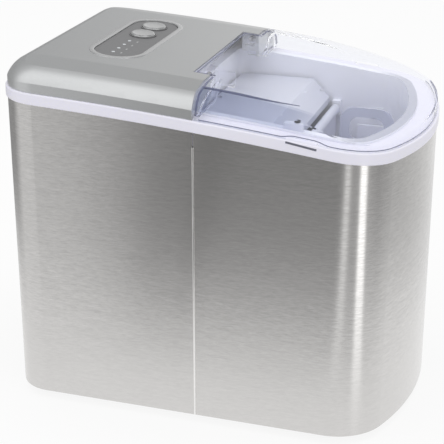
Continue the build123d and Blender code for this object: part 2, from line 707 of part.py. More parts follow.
def cover_inside() -> Part:
    """Front wall, hinge cheeks, screw bosses, panel pocket and board posts under the cover's skin."""
    with BuildPart() as made:
        add(block((-CASE_WIDTH, CASE_WIDTH), (COVER_EDGE, COVER_EDGE + END_WALL), (0, TALL)))
        for side in (-1, 1):
            cheek = mirrored(side, NOTCH_HALF, NOTCH_HALF + CHEEK)
            add(block(cheek, (COVER_EDGE, CHEEK_BACK), (HINGE_Z - CHEEK_DROP, TALL)))
        add(slab(TUB_TOP_LIFT + RIM_CLEAR, TOP_REGION), mode=Mode.INTERSECT)
        with BuildSketch(Plane.XY):
            with Locations(*BOSS_SPOTS):
                Circle(BOSS_RADIUS)
        extrude(amount=TALL)
        with BuildSketch(PANEL_PLANE.offset(-PANEL_DEPTH - POCKET_FLOOR)):
            SlotOverall(PANEL_LENGTH + 2 * POCKET_MARGIN, PANEL_WIDTH + 2 * POCKET_MARGIN)
        extrude(amount=PANEL_DEPTH + POCKET_FLOOR)
        with BuildSketch(PANEL_PLANE.offset(-BOARD_DROP)):
            with Locations(*POST_SPOTS):
                Circle(POST_RADIUS)
        extrude(amount=BOARD_DROP)
        add(slab(RING_HEIGHT, TOP_REGION), mode=Mode.INTERSECT)
        add(dome(COVER_WALL / 2), mode=Mode.INTERSECT)
    return made.part


with BuildPart() as rear_cover:
    add(dome(0))
    add(slab(RING_HEIGHT, TOP_REGION), mode=Mode.INTERSECT)
    add(dome(COVER_WALL), mode=Mode.SUBTRACT)
    add(cover_inside())
    add(block((-CASE_WIDTH, CASE_WIDTH), (-FAR, COVER_EDGE), (0, TALL)), mode=Mode.SUBTRACT)
    add(block((-NOTCH_HALF, NOTCH_HALF), (-FAR, NOTCH_BACK), (0, TALL)), mode=Mode.SUBTRACT)
    with BuildSketch(PANEL_PLANE.offset(-PANEL_DEPTH)):
        SlotOverall(PANEL_LENGTH, PANEL_WIDTH)
    extrude(amount=2 * PANEL_DEPTH, mode=Mode.SUBTRACT)
    with BuildSketch(PANEL_PLANE):
        with Locations(*BUTTON_SPOTS):
            Circle(STEM_HOLE)
        with Locations(*LENS_SPOTS):
            Circle(LENS_RADIUS)
    extrude(amount=-PANEL_DEPTH - POCKET_FLOOR, mode=Mode.SUBTRACT)
    for side in (-1, 1):
        pin_start = (side * (NOTCH_HALF - OVERCUT), HINGE_Y, HINGE_Z)
        add(peg(pin_start, (side, 0, 0), HINGE_PIN + PIN_PLAY, CHEEK + 2 * OVERCUT), mode=Mode.SUBTRACT)
finish_part(rear_cover.part, "rear_cover")

# Fascia, indicator lenses, buttons and board
FASCIA_PLAY = 0.3
with BuildPart() as control_fascia:
    with BuildSketch(PANEL_PLANE.offset(-PANEL_DEPTH)):
        SlotOverall(PANEL_LENGTH - 2 * FASCIA_PLAY, PANEL_WIDTH - 2 * FASCIA_PLAY)
        with Locations(*BUTTON_SPOTS):
            Circle(BUTTON_RADIUS + PLAY, mode=Mode.SUBTRACT)
        with Locations(*LENS_SPOTS):
            Circle(LENS_RADIUS, mode=Mode.SUBTRACT)
    extrude(amount=FASCIA)
finish_part(control_fascia.part, "control_fascia")

LENS_PLAY = 0.05
LENS_PROUD = 0.3
with BuildPart() as indicator_lenses:
    with BuildSketch(PANEL_PLANE.offset(-BOARD_DROP)):
        with Locations(*LENS_SPOTS):
            Circle(LENS_RADIUS - LENS_PLAY)
    extrude(amount=BOARD_DROP - PANEL_DEPTH + FASCIA + LENS_PROUD)
finish_part(indicator_lenses.part, "indicator_lenses")

BUTTON_STOP = 0.1
STEM_REACH = 2.0
CAP_BASE = -PANEL_DEPTH + BUTTON_TRAVEL + BUTTON_STOP
STEM_END = -PANEL_DEPTH - POCKET_FLOOR - STEM_REACH
BUTTON_ROUND = 0.6


def push_button(x: float) -> Part:
    """Round cap with its guide stem, at x along the panel."""
    with BuildPart() as made:
        with BuildSketch(PANEL_PLANE.offset(CAP_BASE)):
            with Locations((x, 0)):
                Circle(BUTTON_RADIUS)
        extrude(amount=BUTTON_PROUD - CAP_BASE)
        rim = made.edges().filter_by(GeomType.CIRCLE).sort_by(Axis.Z)[-1]
        fillet(rim, BUTTON_ROUND)
        with BuildSketch(PANEL_PLANE.offset(STEM_END)):
            with Locations((x, 0)):
                Circle(BUTTON_STEM)
        extrude(amount=CAP_BASE - STEM_END)
    return made.part


with BuildPart() as power_button:
    add(push_button(POWER_X))
finish_part(power_button.part, "power_button")

with BuildPart() as select_button:
    add(push_button(SELECT_X))
finish_part(select_button.part, "select_button")

SWITCH_GAP = BUTTON_TRAVEL + PLAY
SWITCH_SIDE = 6.0
BOARD_LENGTH = 126.0
BOARD_WIDTH = 36.0
CHIP_SPOT = (-20.0, 0.0)
CHIP_SIDE = 16.0
PLUG_SPOT = (30.0, -8.0)
PLUG_SIZE = (22.0, 9.0)
CHIP_HEIGHT = 3.0
with BuildPart() as control_board:
    with BuildSketch(PANEL_PLANE.offset(-BOARD_DROP - BOARD)):
        Rectangle(BOARD_LENGTH, BOARD_WIDTH)
    extrude(amount=BOARD)
    with BuildSketch(PANEL_PLANE.offset(-BOARD_DROP)):
        with Locations(*BUTTON_SPOTS):
            Rectangle(SWITCH_SIDE, SWITCH_SIDE)
    extrude(amount=BOARD_DROP + STEM_END - SWITCH_GAP)
    with BuildSketch(PANEL_PLANE.offset(-BOARD_DROP - BOARD)):
        with Locations(CHIP_SPOT):
            Rectangle(CHIP_SIDE, CHIP_SIDE)
        with Locations(PLUG_SPOT):
            Rectangle(*PLUG_SIZE)
    extrude(amount=-CHIP_HEIGHT)
finish_part(control_board.part, "control_board")

# Partition under the cover's front, behind the lid's flap
PARTITION = 2.0
with BuildPart() as partition:
    add(dome(COVER_WALL + PLAY))
    add(slab(RING_HEIGHT, TOP_REGION), mode=Mode.INTERSECT)
    edge = TUB_REAR_Y + TUB_WALL + TUB_RIM + PLAY
    add(block((-CASE_WIDTH, CASE_WIDTH), (edge, edge + PARTITION), (0, TALL)), mode=Mode.INTERSECT)
finish_part(partition.part, "partition")

# Lid: clear rolled shell with a hinge flap, knuckles, end plates and ribs
RIB_INSET = 21.0
RIB_X = FLAP_HALF - RIB_INSET
RIB = 2.0
RIB_DROP = 10.4
RIB_FRONT_Y = -14.0
RIB_BACK_GAP = 2.0
KNUCKLE_NEAR = FLAP_HALF - 13.0
KNUCKLE_FAR = FLAP_HALF - 1.0
KNUCKLE_HALF = 4.3
END_TOP_Y = -9.0
END_LOW_Y = -1.6
END_INSET = 3.0


def lid_stiffeners() -> Part:
    """Slanted end plates, ribs and hinge knuckles under the lid's skin."""
    low = level(0, RING_HEIGHT)
    high = level(0, TOP_RISE)
    with BuildPart() as made:
        for side in (-1, 1):
            ends = mirrored(side, FLAP_HALF + END_INSET, CASE_WIDTH)
            with BuildSketch(Plane.YZ.offset(ends[0])):
                with BuildLine():
                    Polyline(
                        (END_LOW_Y, low), (END_TOP_Y, high), (END_TOP_Y - LID_WALL, high),
                        (END_LOW_Y - LID_WALL, low), (END_LOW_Y, low),
                    )
                make_face()
            extrude(amount=ends[1] - ends[0])
            rib = (side * RIB_X - RIB / 2, side * RIB_X + RIB / 2)
            add(block(rib, (RIB_FRONT_Y, HINGE_Y - RIB_BACK_GAP), (HINGE_Z - RIB_DROP, TALL)))
            knuckle_y = (HINGE_Y - KNUCKLE_HALF, HINGE_Y + KNUCKLE_HALF)
            add(block(mirrored(side, KNUCKLE_NEAR, KNUCKLE_FAR), knuckle_y, (HINGE_Z - KNUCKLE_HALF, TALL)))
        add(slab(TUB_TOP_LIFT + RIM_CLEAR, TOP_REGION), mode=Mode.INTERSECT)
        add(dome(LID_WALL / 2), mode=Mode.INTERSECT)
    return made.part


def lid_span() -> Part:
    """Everything ahead of the split line, with the hinge flap behind it."""
    with BuildPart() as made:
        add(block((-CASE_WIDTH, CASE_WIDTH), (-FAR, -LID_GAP / 2), (0, TALL)))
        add(block((-FLAP_HALF, FLAP_HALF), (-FAR, FLAP_BACK), (0, TALL)))
    return made.part


def finger_notch() -> Part:
    """Low cut in the lid's side edges for a finger."""
    with BuildPart() as made:
        ends = (NOTCH_Y - NOTCH_LENGTH / 2, NOTCH_Y + NOTCH_LENGTH / 2)
        add(block((-CASE_WIDTH, CASE_WIDTH), ends, (0, TALL)))
        add(slab(RING_HEIGHT, RING_HEIGHT + NOTCH_HEIGHT), mode=Mode.INTERSECT)
    return made.part


PIN_LENGTH = NOTCH_HALF + CHEEK - END_PLAY - KNUCKLE_NEAR
with BuildPart() as lid:
    add(dome(0))
    add(slab(RING_HEIGHT + LID_LIFT, TOP_REGION), mode=Mode.INTERSECT)
    add(dome(LID_WALL), mode=Mode.SUBTRACT)
    add(lid_stiffeners())
    add(lid_span(), mode=Mode.INTERSECT)
    add(finger_notch(), mode=Mode.SUBTRACT)
    for side in (-1, 1):
        pin_start = (side * (KNUCKLE_NEAR - OVERCUT), HINGE_Y, HINGE_Z)
        add(peg(pin_start, (side, 0, 0), HINGE_PIN, PIN_LENGTH), mode=Mode.SUBTRACT)
finish_part(lid.part, "lid")

with BuildPart() as lid_hinge_pins:
    for side in (-1, 1):
        add(peg((side * KNUCKLE_NEAR, HINGE_Y, HINGE_Z), (side, 0, 0), HINGE_PIN, PIN_LENGTH))
finish_part(lid_hinge_pins.part, "lid_hinge_pins")

# Ice basket with drain slots and the two guides for the scoop
GUIDE_GAP = 0.3
GUIDE = 2.0
SCOOP_REAR_Y = BASKET_REAR_Y - BASKET_WALL
SCOOP_FRONT_Y = front_y(SCOOP_X, -TUB_MARGIN - BASKET_GAP - BASKET_WALL)
SCOOP_MID_Y = (SCOOP_REAR_Y + SCOOP_FRONT_Y) / 2
SCOOP_WIDTH = SCOOP_REAR_Y - SCOOP_FRONT_Y - 2 * SCOOP_SIDE_ROOM
REAR_RIM = SHOVEL_Z - SHOVEL_LENGTH - BASKET_LIFT - SHOVEL_CLEAR
REAR_RIM_DEPTH = 16.0
GUIDE_LAP = 4.0
BASKET_SLOT = (40.0, 5.0)
BASKET_SLOT_PITCH = (46.0, 12.0)
BASKET_SLOT_COUNT = (3, 4)


def basket_plan(grow: float) -> Sketch:
    """Plan of the basket's outside, grown outwards by grow."""
    with BuildSketch() as plan:
        add(outline(grow - TUB_MARGIN - BASKET_GAP))
        with Locations((0, BASKET_REAR_Y + grow - CASE_DEPTH)):
            Rectangle(2 * CASE_WIDTH, 2 * CASE_DEPTH, mode=Mode.INTERSECT)
        fillet(plan.vertices().group_by(Axis.Y)[-1], TUB_CORNER + grow)
    return plan.sketch


def scoop_guides() -> Part:
    """Two pairs of upright ribs that hold the scoop's edges."""
    groove = SCOOP_WALL / 2 + GUIDE_GAP
    half = SCOOP_WIDTH / 2 - GUIDE_LAP
    with BuildPart() as made:
        for side in (-1, 1):
            ends = (SCOOP_X + side * groove, SCOOP_X + side * (groove + GUIDE))
            add(block((min(ends), max(ends)), (-CASE_DEPTH, CASE_DEPTH), (BASKET_BOTTOM, REAR_RIM)))
        between = (SCOOP_MID_Y - half, SCOOP_MID_Y + half)
        add(block((-CASE_WIDTH, CASE_WIDTH), between, (0, TALL)), mode=Mode.SUBTRACT)
        add(prism(basket_plan(-BASKET_WALL / 2), 0, TALL), mode=Mode.INTERSECT)
    return made.part


with BuildPart() as ice_basket:
    add(prism(basket_plan(0), BASKET_BOTTOM, BASKET_RIM))
    add(prism(basket_plan(-BASKET_WALL), BASKET_FLOOR, TALL), mode=Mode.SUBTRACT)
    low_wall = (BASKET_REAR_Y - REAR_RIM_DEPTH, BASKET_REAR_Y + OVERCUT)
    add(block((-CASE_WIDTH, CASE_WIDTH), low_wall, (REAR_RIM, TALL)), mode=Mode.SUBTRACT)
    add(scoop_guides())
    with BuildSketch(Plane.XY.offset(BASKET_BOTTOM)):
        with Locations((0, (BASKET_REAR_Y + front_y(0, -TUB_MARGIN)) / 2)):
            with GridLocations(*BASKET_SLOT_PITCH, *BASKET_SLOT_COUNT):
                SlotOverall(*BASKET_SLOT)
    extrude(amount=BASKET_WALL, mode=Mode.SUBTRACT)
finish_part(ice_basket.part, "ice_basket")

# Scoop, standing in the basket's guides
SCOOP_LOW = BASKET_FLOOR
SCOOP_TOP = SCOOP_LOW + SCOOP_HEIGHT
LOOP_SIDE = 9.0
LOOP_WIDTH = SCOOP_WIDTH - 2 * LOOP_SIDE
LOOP_HEIGHT = 22.0
LOOP_ROUND = 0.4
LOOP_CORNER = LOOP_ROUND * min(LOOP_WIDTH, LOOP_HEIGHT)
LOOP_DROP = 9.0
BOWL_INSET = 5.0
BOWL_HALF = SCOOP_WIDTH / 2 - BOWL_INSET
BOWL_LIP = 16.0
BOWL_TOP = SCOOP_LOW + SCOOP_BOWL_HEIGHT
BOWL_LOW = SCOOP_LOW + SCOOP_CORNER


def scoop_bowl() -> Part:
    """Hood-shaped bowl on the scoop's plate, open towards -X."""
    lip_x = SCOOP_X - SCOOP_BOWL_DEPTH
    cheeks = BOWL_HALF - SCOOP_WALL
    with BuildPart() as made:
        with BuildSketch(Plane.XZ.offset(-SCOOP_MID_Y - BOWL_HALF)):
            with BuildLine():
                Polyline(
                    (SCOOP_X, BOWL_LOW), (lip_x, BOWL_TOP - BOWL_LIP), (lip_x, BOWL_TOP),
                    (SCOOP_X, BOWL_TOP), (SCOOP_X, BOWL_LOW),
                )
            make_face()
        extrude(amount=2 * BOWL_HALF)
        inside_y = (SCOOP_MID_Y - cheeks, SCOOP_MID_Y + cheeks)
        add(block((lip_x - OVERCUT, SCOOP_X), inside_y, (0, BOWL_TOP - SCOOP_WALL)), mode=Mode.SUBTRACT)
    return made.part


with BuildPart() as ice_scoop:
    with BuildSketch(Plane.YZ.offset(SCOOP_X - SCOOP_WALL / 2)):
        with Locations((SCOOP_MID_Y, SCOOP_LOW + SCOOP_HEIGHT / 2)):
            RectangleRounded(SCOOP_WIDTH, SCOOP_HEIGHT, SCOOP_CORNER)
        with Locations((SCOOP_MID_Y, SCOOP_TOP - LOOP_DROP - LOOP_HEIGHT / 2)):
            RectangleRounded(LOOP_WIDTH, LOOP_HEIGHT, LOOP_CORNER, mode=Mode.SUBTRACT)
    extrude(amount=SCOOP_WALL)
    add(scoop_bowl())
finish_part(ice_scoop.part, "ice_scoop")

# Ice sensors on the tub's side walls
SENSOR = 2.0
SENSOR_LENGTH = 12.0
SENSOR_HEIGHT = 10.0
SENSOR_ABOVE_RIM = 6.0
SENSOR_Y = (CORNER_Y, CORNER_Y + SENSOR_LENGTH)
SENSOR_Z = (BASKET_RIM + SENSOR_ABOVE_RIM, BASKET_RIM + SENSOR_ABOVE_RIM + SENSOR_HEIGHT)
with BuildPart() as ice_sensors:
    for side in (-1, 1):
        add(block(mirrored(side, TUB_SIDE - SENSOR, TUB_SIDE), SENSOR_Y, SENSOR_Z))
finish_part(ice_sensors.part, "ice_sensors")

# Evaporator: header bar with hanging fingers and two arms to the tub's rear wall
HEADER_LAP = 8.0
HEADER_Y = (FINGER_FRONT_Y - HEADER_LAP, FINGER_BACK_Y + HEADER_LAP)
ARM_INSET = 20.0
ARM_X = EVAP_HALF - ARM_INSET
ARM_HALF = 5.0
ARM_THICK = 4.0
FINGERS_BACK = int(2 * (EVAP_HALF - FINGER_RADIUS - FINGER_EDGE) / FINGER_PITCH) + 1


def finger_row(count: int, y: float) -> list:
    """Centres of a row of fingers, evenly about the middle."""
    return [((step - (count - 1) / 2) * FINGER_PITCH, y) for step in range(count)]


with BuildPart() as evaporator:
    add(block((-EVAP_HALF, EVAP_HALF), HEADER_Y, (EVAP_Z, EVAP_TOP)))
    with BuildSketch(Plane.XY.offset(EVAP_Z)):
        with Locations(*finger_row(FINGERS_BACK, FINGER_BACK_Y)):
            Circle(FINGER_RADIUS)
        with Locations(*finger_row(FINGERS_BACK - 1, FINGER_FRONT_Y)):
            Circle(FINGER_RADIUS)
    extrude(amount=-FINGER_LENGTH)
    tips = evaporator.edges().filter_by(GeomType.CIRCLE).group_by(Axis.Z)[0]
    fillet(tips, FINGER_TIP_ROUND)
    for side in (-1, 1):
        arm = mirrored(side, ARM_X - ARM_HALF, ARM_X + ARM_HALF)
        add(block(arm, (HEADER_Y[1] - OVERCUT, TUB_REAR_Y), (EVAP_TOP - ARM_THICK, EVAP_TOP)))
finish_part(evaporator.part, "evaporator")

# Hood over the evaporator
HOOD = 2.2
HOOD_GAP = 4.0
HOOD_HALF = TUB_SIDE - HOOD_GAP
HOOD_TOP = EVAP_TOP + HOOD_RISE
HOOD_BACK_Y = TUB_REAR_Y - HOOD_GAP
HOOD_OVERHANG = 0.5
HOOD_FRONT_Y = TRAY_FRONT_Y - HOOD_OVERHANG
HOOD_PIPE_SLOT = 6.0
HOOD_LIP = 6.0
HOOD_SLOPE = 16.0


def hood_solid(inset: float) -> Part:
    """Solid of the hood, made smaller by inset on every side but the bottom."""
    top = HOOD_TOP - inset
    back = HOOD_BACK_Y - inset
    front = HOOD_FRONT_Y + inset
    with BuildPart() as made:
        with BuildSketch(Plane.YZ.offset(-HOOD_HALF + inset)):
            with BuildLine():
                Polyline(
                    (back, EVAP_TOP), (back, top), (front + HOOD_SLOPE, top),
                    (front, EVAP_TOP + HOOD_LIP), (front, EVAP_TOP), (back, EVAP_TOP),
                )
            make_face()
        extrude(amount=2 * (HOOD_HALF - inset))
    return made.part


with BuildPart() as evaporator_hood:
    add(hood_solid(0))
    add(hood_solid(HOOD), mode=Mode.SUBTRACT)
    slot_y = (HOOD_BACK_Y - HOOD - OVERCUT, HOOD_BACK_Y + OVERCUT)
    add(block(PIPE_NOTCH, slot_y, (EVAP_TOP - OVERCUT, EVAP_TOP + HOOD_PIPE_SLOT)), mode=Mode.SUBTRACT)
finish_part(evaporator_hood.part, "evaporator_hood")

# Water tray with ears on the tilting axis
EAR_RADIUS = 7.0
EAR_DROP = 9.0
STUB_END = TUB_SIDE + TUB_WALL


def tray_ear(side: int) -> Part:
    """Upright ear that carries the tray's stub axle, on one side."""
    face = mirrored(side, TRAY_HALF - TRAY_WALL, TRAY_HALF)[0]
    with BuildPart() as made:
        with BuildSketch(Plane.YZ.offset(face)):
            with Locations((TRAY_AXIS_Y, AXIS_Z), (TRAY_BACK_Y - EAR_DROP, TRAY_TOP - EAR_DROP)):
                Circle(EAR_RADIUS)
            make_hull()
        extrude(amount=TRAY_WALL)
    return made.part


with BuildPart() as water_tray:
    add(block((-TRAY_HALF, TRAY_HALF), (TRAY_FRONT_Y, TRAY_BACK_Y), (TRAY_BOTTOM, TRAY_TOP)))
    add(
        block(
            (-TRAY_HALF + TRAY_WALL, TRAY_HALF - TRAY_WALL),
            (TRAY_FRONT_Y + TRAY_WALL, TRAY_BACK_Y - TRAY_WALL),
            (TRAY_BOTTOM + TRAY_WALL, TALL),
        ),
        mode=Mode.SUBTRACT,
    )
    for side in (-1, 1):
        add(tray_ear(side))
        add(peg((side * TRAY_HALF, TRAY_AXIS_Y, AXIS_Z), (side, 0, 0), TRAY_STUB, STUB_END - TRAY_HALF))
finish_part(water_tray.part, "water_tray")

BUSH_IN = 4.0
BUSH_FLANGE = 2.0
with BuildPart() as tray_bushes:
    for side in (-1, 1):
        seat = (side * TUB_SIDE, TRAY_AXIS_Y, AXIS_Z)
        add(peg(seat, (side, 0, 0), STUB_HOLE, TUB_WALL))
        add(peg(seat, (-side, 0, 0), STUB_HOLE + BUSH_FLANGE, BUSH_IN))
    for side in (-1, 1):
        start = (side * (TUB_SIDE - BUSH_IN - OVERCUT), TRAY_AXIS_Y, AXIS_Z)
        bore_length = BUSH_IN + TUB_WALL + 2 * OVERCUT
        add(peg(start, (side, 0, 0), TRAY_STUB + PIN_PLAY, bore_length), mode=Mode.SUBTRACT)
finish_part(tray_bushes.part, "tray_bushes")

# Gear motor of the tray, on the tub's outer wall
MOTOR_DEPTH = 16.0
MOTOR_X = (TUB_SIDE + TUB_WALL, TUB_SIDE + TUB_WALL + MOTOR_DEPTH)
MOTOR_HALF_Y = 22.0
MOTOR_HALF_Z = 18.0
MOTOR_BORE_DEPTH = 5.0
MOTOR_ROUND = 4.0
with BuildPart() as tray_motor:
    add(
        block(
            MOTOR_X,
            (TRAY_AXIS_Y - MOTOR_HALF_Y, TRAY_AXIS_Y + MOTOR_HALF_Y),
            (AXIS_Z - MOTOR_HALF_Z, AXIS_Z + MOTOR_HALF_Z),
        )
    )
    fillet(tray_motor.edges().filter_by(Axis.X), MOTOR_ROUND)
    bore_start = (MOTOR_X[0] - OVERCUT, TRAY_AXIS_Y, AXIS_Z)
    add(peg(bore_start, (1, 0, 0), TRAY_STUB + PIN_PLAY, MOTOR_BORE_DEPTH + OVERCUT), mode=Mode.SUBTRACT)
finish_part(tray_motor.part, "tray_motor")

# Ice shovel on its axle, and the brackets that carry the axle
COMB_TOOTH = 10.0
COMB_GAP = 6.0
BRACKET_IN = 5.5
BRACKET_HALF_Y = 4.0
BRACKET_HALF_Z = 7.0
SHOVEL_SIDE_GAP = 3.0
SHOVEL_HALF = TUB_SIDE - BRACKET_IN - SHOVEL_SIDE_GAP
SHOVEL_SLEEVE = 2.0
COMB_COUNT = 9
with BuildPart() as ice_shovel:
    add(
        block(
            (-SHOVEL_HALF, SHOVEL_HALF),
            (SHOVEL_Y - SHOVEL_PLATE / 2, SHOVEL_Y + SHOVEL_PLATE / 2),
            (SHOVEL_Z - SHOVEL_LENGTH, SHOVEL_Z),
        )
    )
    add(peg((-SHOVEL_HALF, SHOVEL_Y, SHOVEL_Z), (1, 0, 0), SHOVEL_AXLE + SHOVEL_SLEEVE, 2 * SHOVEL_HALF))
    with BuildSketch(Plane.XZ.offset(-SHOVEL_Y - SHOVEL_PLATE)):
        with Locations((0, SHOVEL_Z - SHOVEL_LENGTH)):
            with GridLocations(2 * SHOVEL_HALF / (COMB_COUNT + 1), COMB_TOOTH, COMB_COUNT, 1):
                Rectangle(COMB_GAP, 2 * COMB_TOOTH)
    extrude(amount=2 * SHOVEL_PLATE, mode=Mode.SUBTRACT)
    add(peg((-CASE_WIDTH, SHOVEL_Y, SHOVEL_Z), (1, 0, 0), SHOVEL_AXLE, 2 * CASE_WIDTH), mode=Mode.SUBTRACT)
finish_part(ice_shovel.part, "ice_shovel")

AXLE_HALF = TUB_SIDE - END_PLAY
with BuildPart() as shovel_axle:
    add(peg((-AXLE_HALF, SHOVEL_Y, SHOVEL_Z), (1, 0, 0), SHOVEL_AXLE, 2 * AXLE_HALF))
finish_part(shovel_axle.part, "shovel_axle")

with BuildPart() as shovel_brackets:
    for side in (-1, 1):
        add(
            block(
                mirrored(side, TUB_SIDE - BRACKET_IN, TUB_SIDE),
                (SHOVEL_Y - BRACKET_HALF_Y, SHOVEL_Y + BRACKET_HALF_Y),
                (SHOVEL_Z - BRACKET_HALF_Z, SHOVEL_Z + BRACKET_HALF_Z),
            )
        )
    bore_start = (-CASE_WIDTH, SHOVEL_Y, SHOVEL_Z)
    add(peg(bore_start, (1, 0, 0), SHOVEL_AXLE + PIN_PLAY, 2 * CASE_WIDTH), mode=Mode.SUBTRACT)
finish_part(shovel_brackets.part, "shovel_brackets")

# Water pump on the tub floor, its impeller, strainer and hose
PUMP_GAP = 4.5
PUMP_REAR_GAP = 4.0
PUMP_WIDE = 32.0
PUMP_DEEP = 28.0
PUMP_X = (PUMP_GAP - TUB_SIDE, PUMP_GAP - TUB_SIDE + PUMP_WIDE)
PUMP_Y = (TUB_REAR_Y - PUMP_REAR_GAP - PUMP_DEEP, TUB_REAR_Y - PUMP_REAR_GAP)
PUMP_HEIGHT = 36.0
PUMP_ROUND = 4.0
PUMP_AXIS = ((PUMP_X[0] + PUMP_X[1]) / 2, (PUMP_Y[0] + PUMP_Y[1]) / 2)
CHAMBER_RADIUS = 11.5
CHAMBER_DEPTH = 10.0
STRAINER = 3.0
IMPELLER_RADIUS = 10.5
IMPELLER_HEIGHT = 7.0
IMPELLER_PIN = 2.0
PIN_SEAT = 8.0
HOSE_RADIUS = 4.0
HOSE_INSET = 6.0
HOSE_SPOT = (PUMP_X[0] + HOSE_INSET, PUMP_Y[1] - HOSE_INSET)
SPIGOT = 7.0
PUMP_LOW = TUB_FLOOR + STRAINER
with BuildPart() as water_pump:
    add(block(PUMP_X, PUMP_Y, (PUMP_LOW, PUMP_LOW + PUMP_HEIGHT)))
    fillet(water_pump.edges().filter_by(Axis.Z), PUMP_ROUND)
    add(peg((*HOSE_SPOT, PUMP_LOW), (0, 0, 1), HOSE_RADIUS, PUMP_HEIGHT + SPIGOT))
    add(peg((*PUMP_AXIS, PUMP_LOW), (0, 0, 1), CHAMBER_RADIUS, CHAMBER_DEPTH), mode=Mode.SUBTRACT)
    seat_depth = CHAMBER_DEPTH + PIN_SEAT + OVERCUT
    add(peg((*PUMP_AXIS, PUMP_LOW), (0, 0, 1), IMPELLER_PIN + PIN_PLAY, seat_depth), mode=Mode.SUBTRACT)
finish_part(water_pump.part, "water_pump")

IMPELLER_VANES = 5
IMPELLER_DISC = 2.0
VANE = 1.6
with BuildPart() as pump_impeller:
    floor = PUMP_LOW + (CHAMBER_DEPTH - IMPELLER_HEIGHT) / 2
    add(peg((*PUMP_AXIS, floor), (0, 0, 1), IMPELLER_RADIUS, IMPELLER_DISC))
    add(peg((*PUMP_AXIS, floor), (0, 0, 1), IMPELLER_PIN, PUMP_LOW + CHAMBER_DEPTH + PIN_SEAT - floor))
    with BuildSketch(Plane.XY.offset(floor + IMPELLER_DISC)):
        with Locations(PUMP_AXIS):
            with PolarLocations(0, IMPELLER_VANES):
                with Locations((IMPELLER_RADIUS / 2, 0)):
                    Rectangle(IMPELLER_RADIUS - OVERCUT, VANE)
    extrude(amount=IMPELLER_HEIGHT - IMPELLER_DISC)
finish_part(pump_impeller.part, "pump_impeller")

STRAINER_PITCH = 6.0
STRAINER_SLOTS = 3
STRAINER_SLOT = (14.0, 2.6)
with BuildPart() as pump_strainer:
    add(block(PUMP_X, PUMP_Y, (TUB_FLOOR, PUMP_LOW)))
    with BuildSketch(Plane.XY.offset(TUB_FLOOR)):
        with Locations(PUMP_AXIS):
            with GridLocations(STRAINER_PITCH, STRAINER_PITCH, STRAINER_SLOTS, 1):
                SlotOverall(*STRAINER_SLOT, rotation=90)
    extrude(amount=STRAINER, mode=Mode.SUBTRACT)
finish_part(pump_strainer.part, "pump_strainer")

HOSE_ABOVE_AXIS = 12.5
HOSE_Z = AXIS_Z + HOSE_ABOVE_AXIS
HOSE_TURN = 16.0
HOSE_END = (HOSE_SPOT[0] + HOSE_TURN, (FINGER_BACK_Y + FINGER_FRONT_Y) / 2)
with BuildPart() as water_hose:
    add(
        pipe(
            [
                (*HOSE_SPOT, PUMP_LOW + PUMP_HEIGHT + SPIGOT),
                (*HOSE_SPOT, HOSE_Z),
                (HOSE_SPOT[0], HOSE_END[1], HOSE_Z),
                (*HOSE_END, HOSE_Z),
            ],
            HOSE_RADIUS,
            PIPE_BEND,
        )
    )
finish_part(water_hose.part, "water_hose")

# Compressor on its sprung plate
COMP_LOW = FLOOR_Z + GROMMET_HEIGHT + COMP_PLATE
PORT_OFFSET = 20.0
PORT_RISE = 12.0
PORT_ROOT = 20.0
PORT_TOP = COMP_LOW + COMP_HEIGHT + PORT_RISE
SEAM_BAND = 2.5
SEAM_BAND_UP = 70.0
SEAM_BAND_HEIGHT = 6.0
SHELL_ROUND = 24.0
with BuildPart() as compressor:
    add(peg((COMP_X, COMP_Y, COMP_LOW), (0, 0, 1), COMP_RADIUS, COMP_HEIGHT))
    fillet(compressor.edges().filter_by(GeomType.CIRCLE), SHELL_ROUND)
    add(peg((COMP_X, COMP_Y, COMP_LOW + SEAM_BAND_UP), (0, 0, 1), COMP_RADIUS + SEAM_BAND, SEAM_BAND_HEIGHT))
    for side in (-1, 1):
        port = (COMP_X + PORT_OFFSET, COMP_Y + side * PORT_OFFSET, COMP_LOW + COMP_HEIGHT - PORT_ROOT)
        add(peg(port, (0, 0, 1), PIPE_RADIUS, PORT_TOP - port[2]))
finish_part(compressor.part, "compressor")

PLATE_MARGIN = 9.0
with BuildPart() as compressor_plate:
    with BuildSketch(Plane.XY.offset(COMP_LOW - COMP_PLATE)):
        with Locations((COMP_X, COMP_Y)):
            RectangleRounded(2 * (COMP_BOLT_X + PLATE_MARGIN), 2 * (COMP_BOLT_Y + PLATE_MARGIN), PLATE_MARGIN)
        with Locations(*COMP_BOLT_SPOTS):
            Circle(COMP_BOLT + PIN_PLAY, mode=Mode.SUBTRACT)
    extrude(amount=COMP_PLATE)
finish_part(compressor_plate.part, "compressor_plate")

GROMMET_RADIUS = 8.0
with BuildPart() as compressor_grommets:
    with BuildSketch(Plane.XY.offset(FLOOR_Z)):
        with Locations(*COMP_BOLT_SPOTS):
            Circle(GROMMET_RADIUS)
            Circle(COMP_BOLT + PIN_PLAY, mode=Mode.SUBTRACT)
    extrude(amount=GROMMET_HEIGHT)
finish_part(compressor_grommets.part, "compressor_grommets")

COMP_HEAD = 5.5
COMP_HEAD_HEIGHT = 3.5
with BuildPart() as compressor_bolts:
    with BuildSketch(Plane.XY.offset(COMP_LOW)):
        with Locations(*COMP_BOLT_SPOTS):
            RegularPolygon(COMP_HEAD, 6)
    extrude(amount=COMP_HEAD_HEIGHT)
    with BuildSketch(Plane.XY.offset(PAN_Z)):
        with Locations(*COMP_BOLT_SPOTS):
            Circle(COMP_BOLT)
    extrude(amount=COMP_LOW - PAN_Z)
finish_part(compressor_bolts.part, "compressor_bolts")

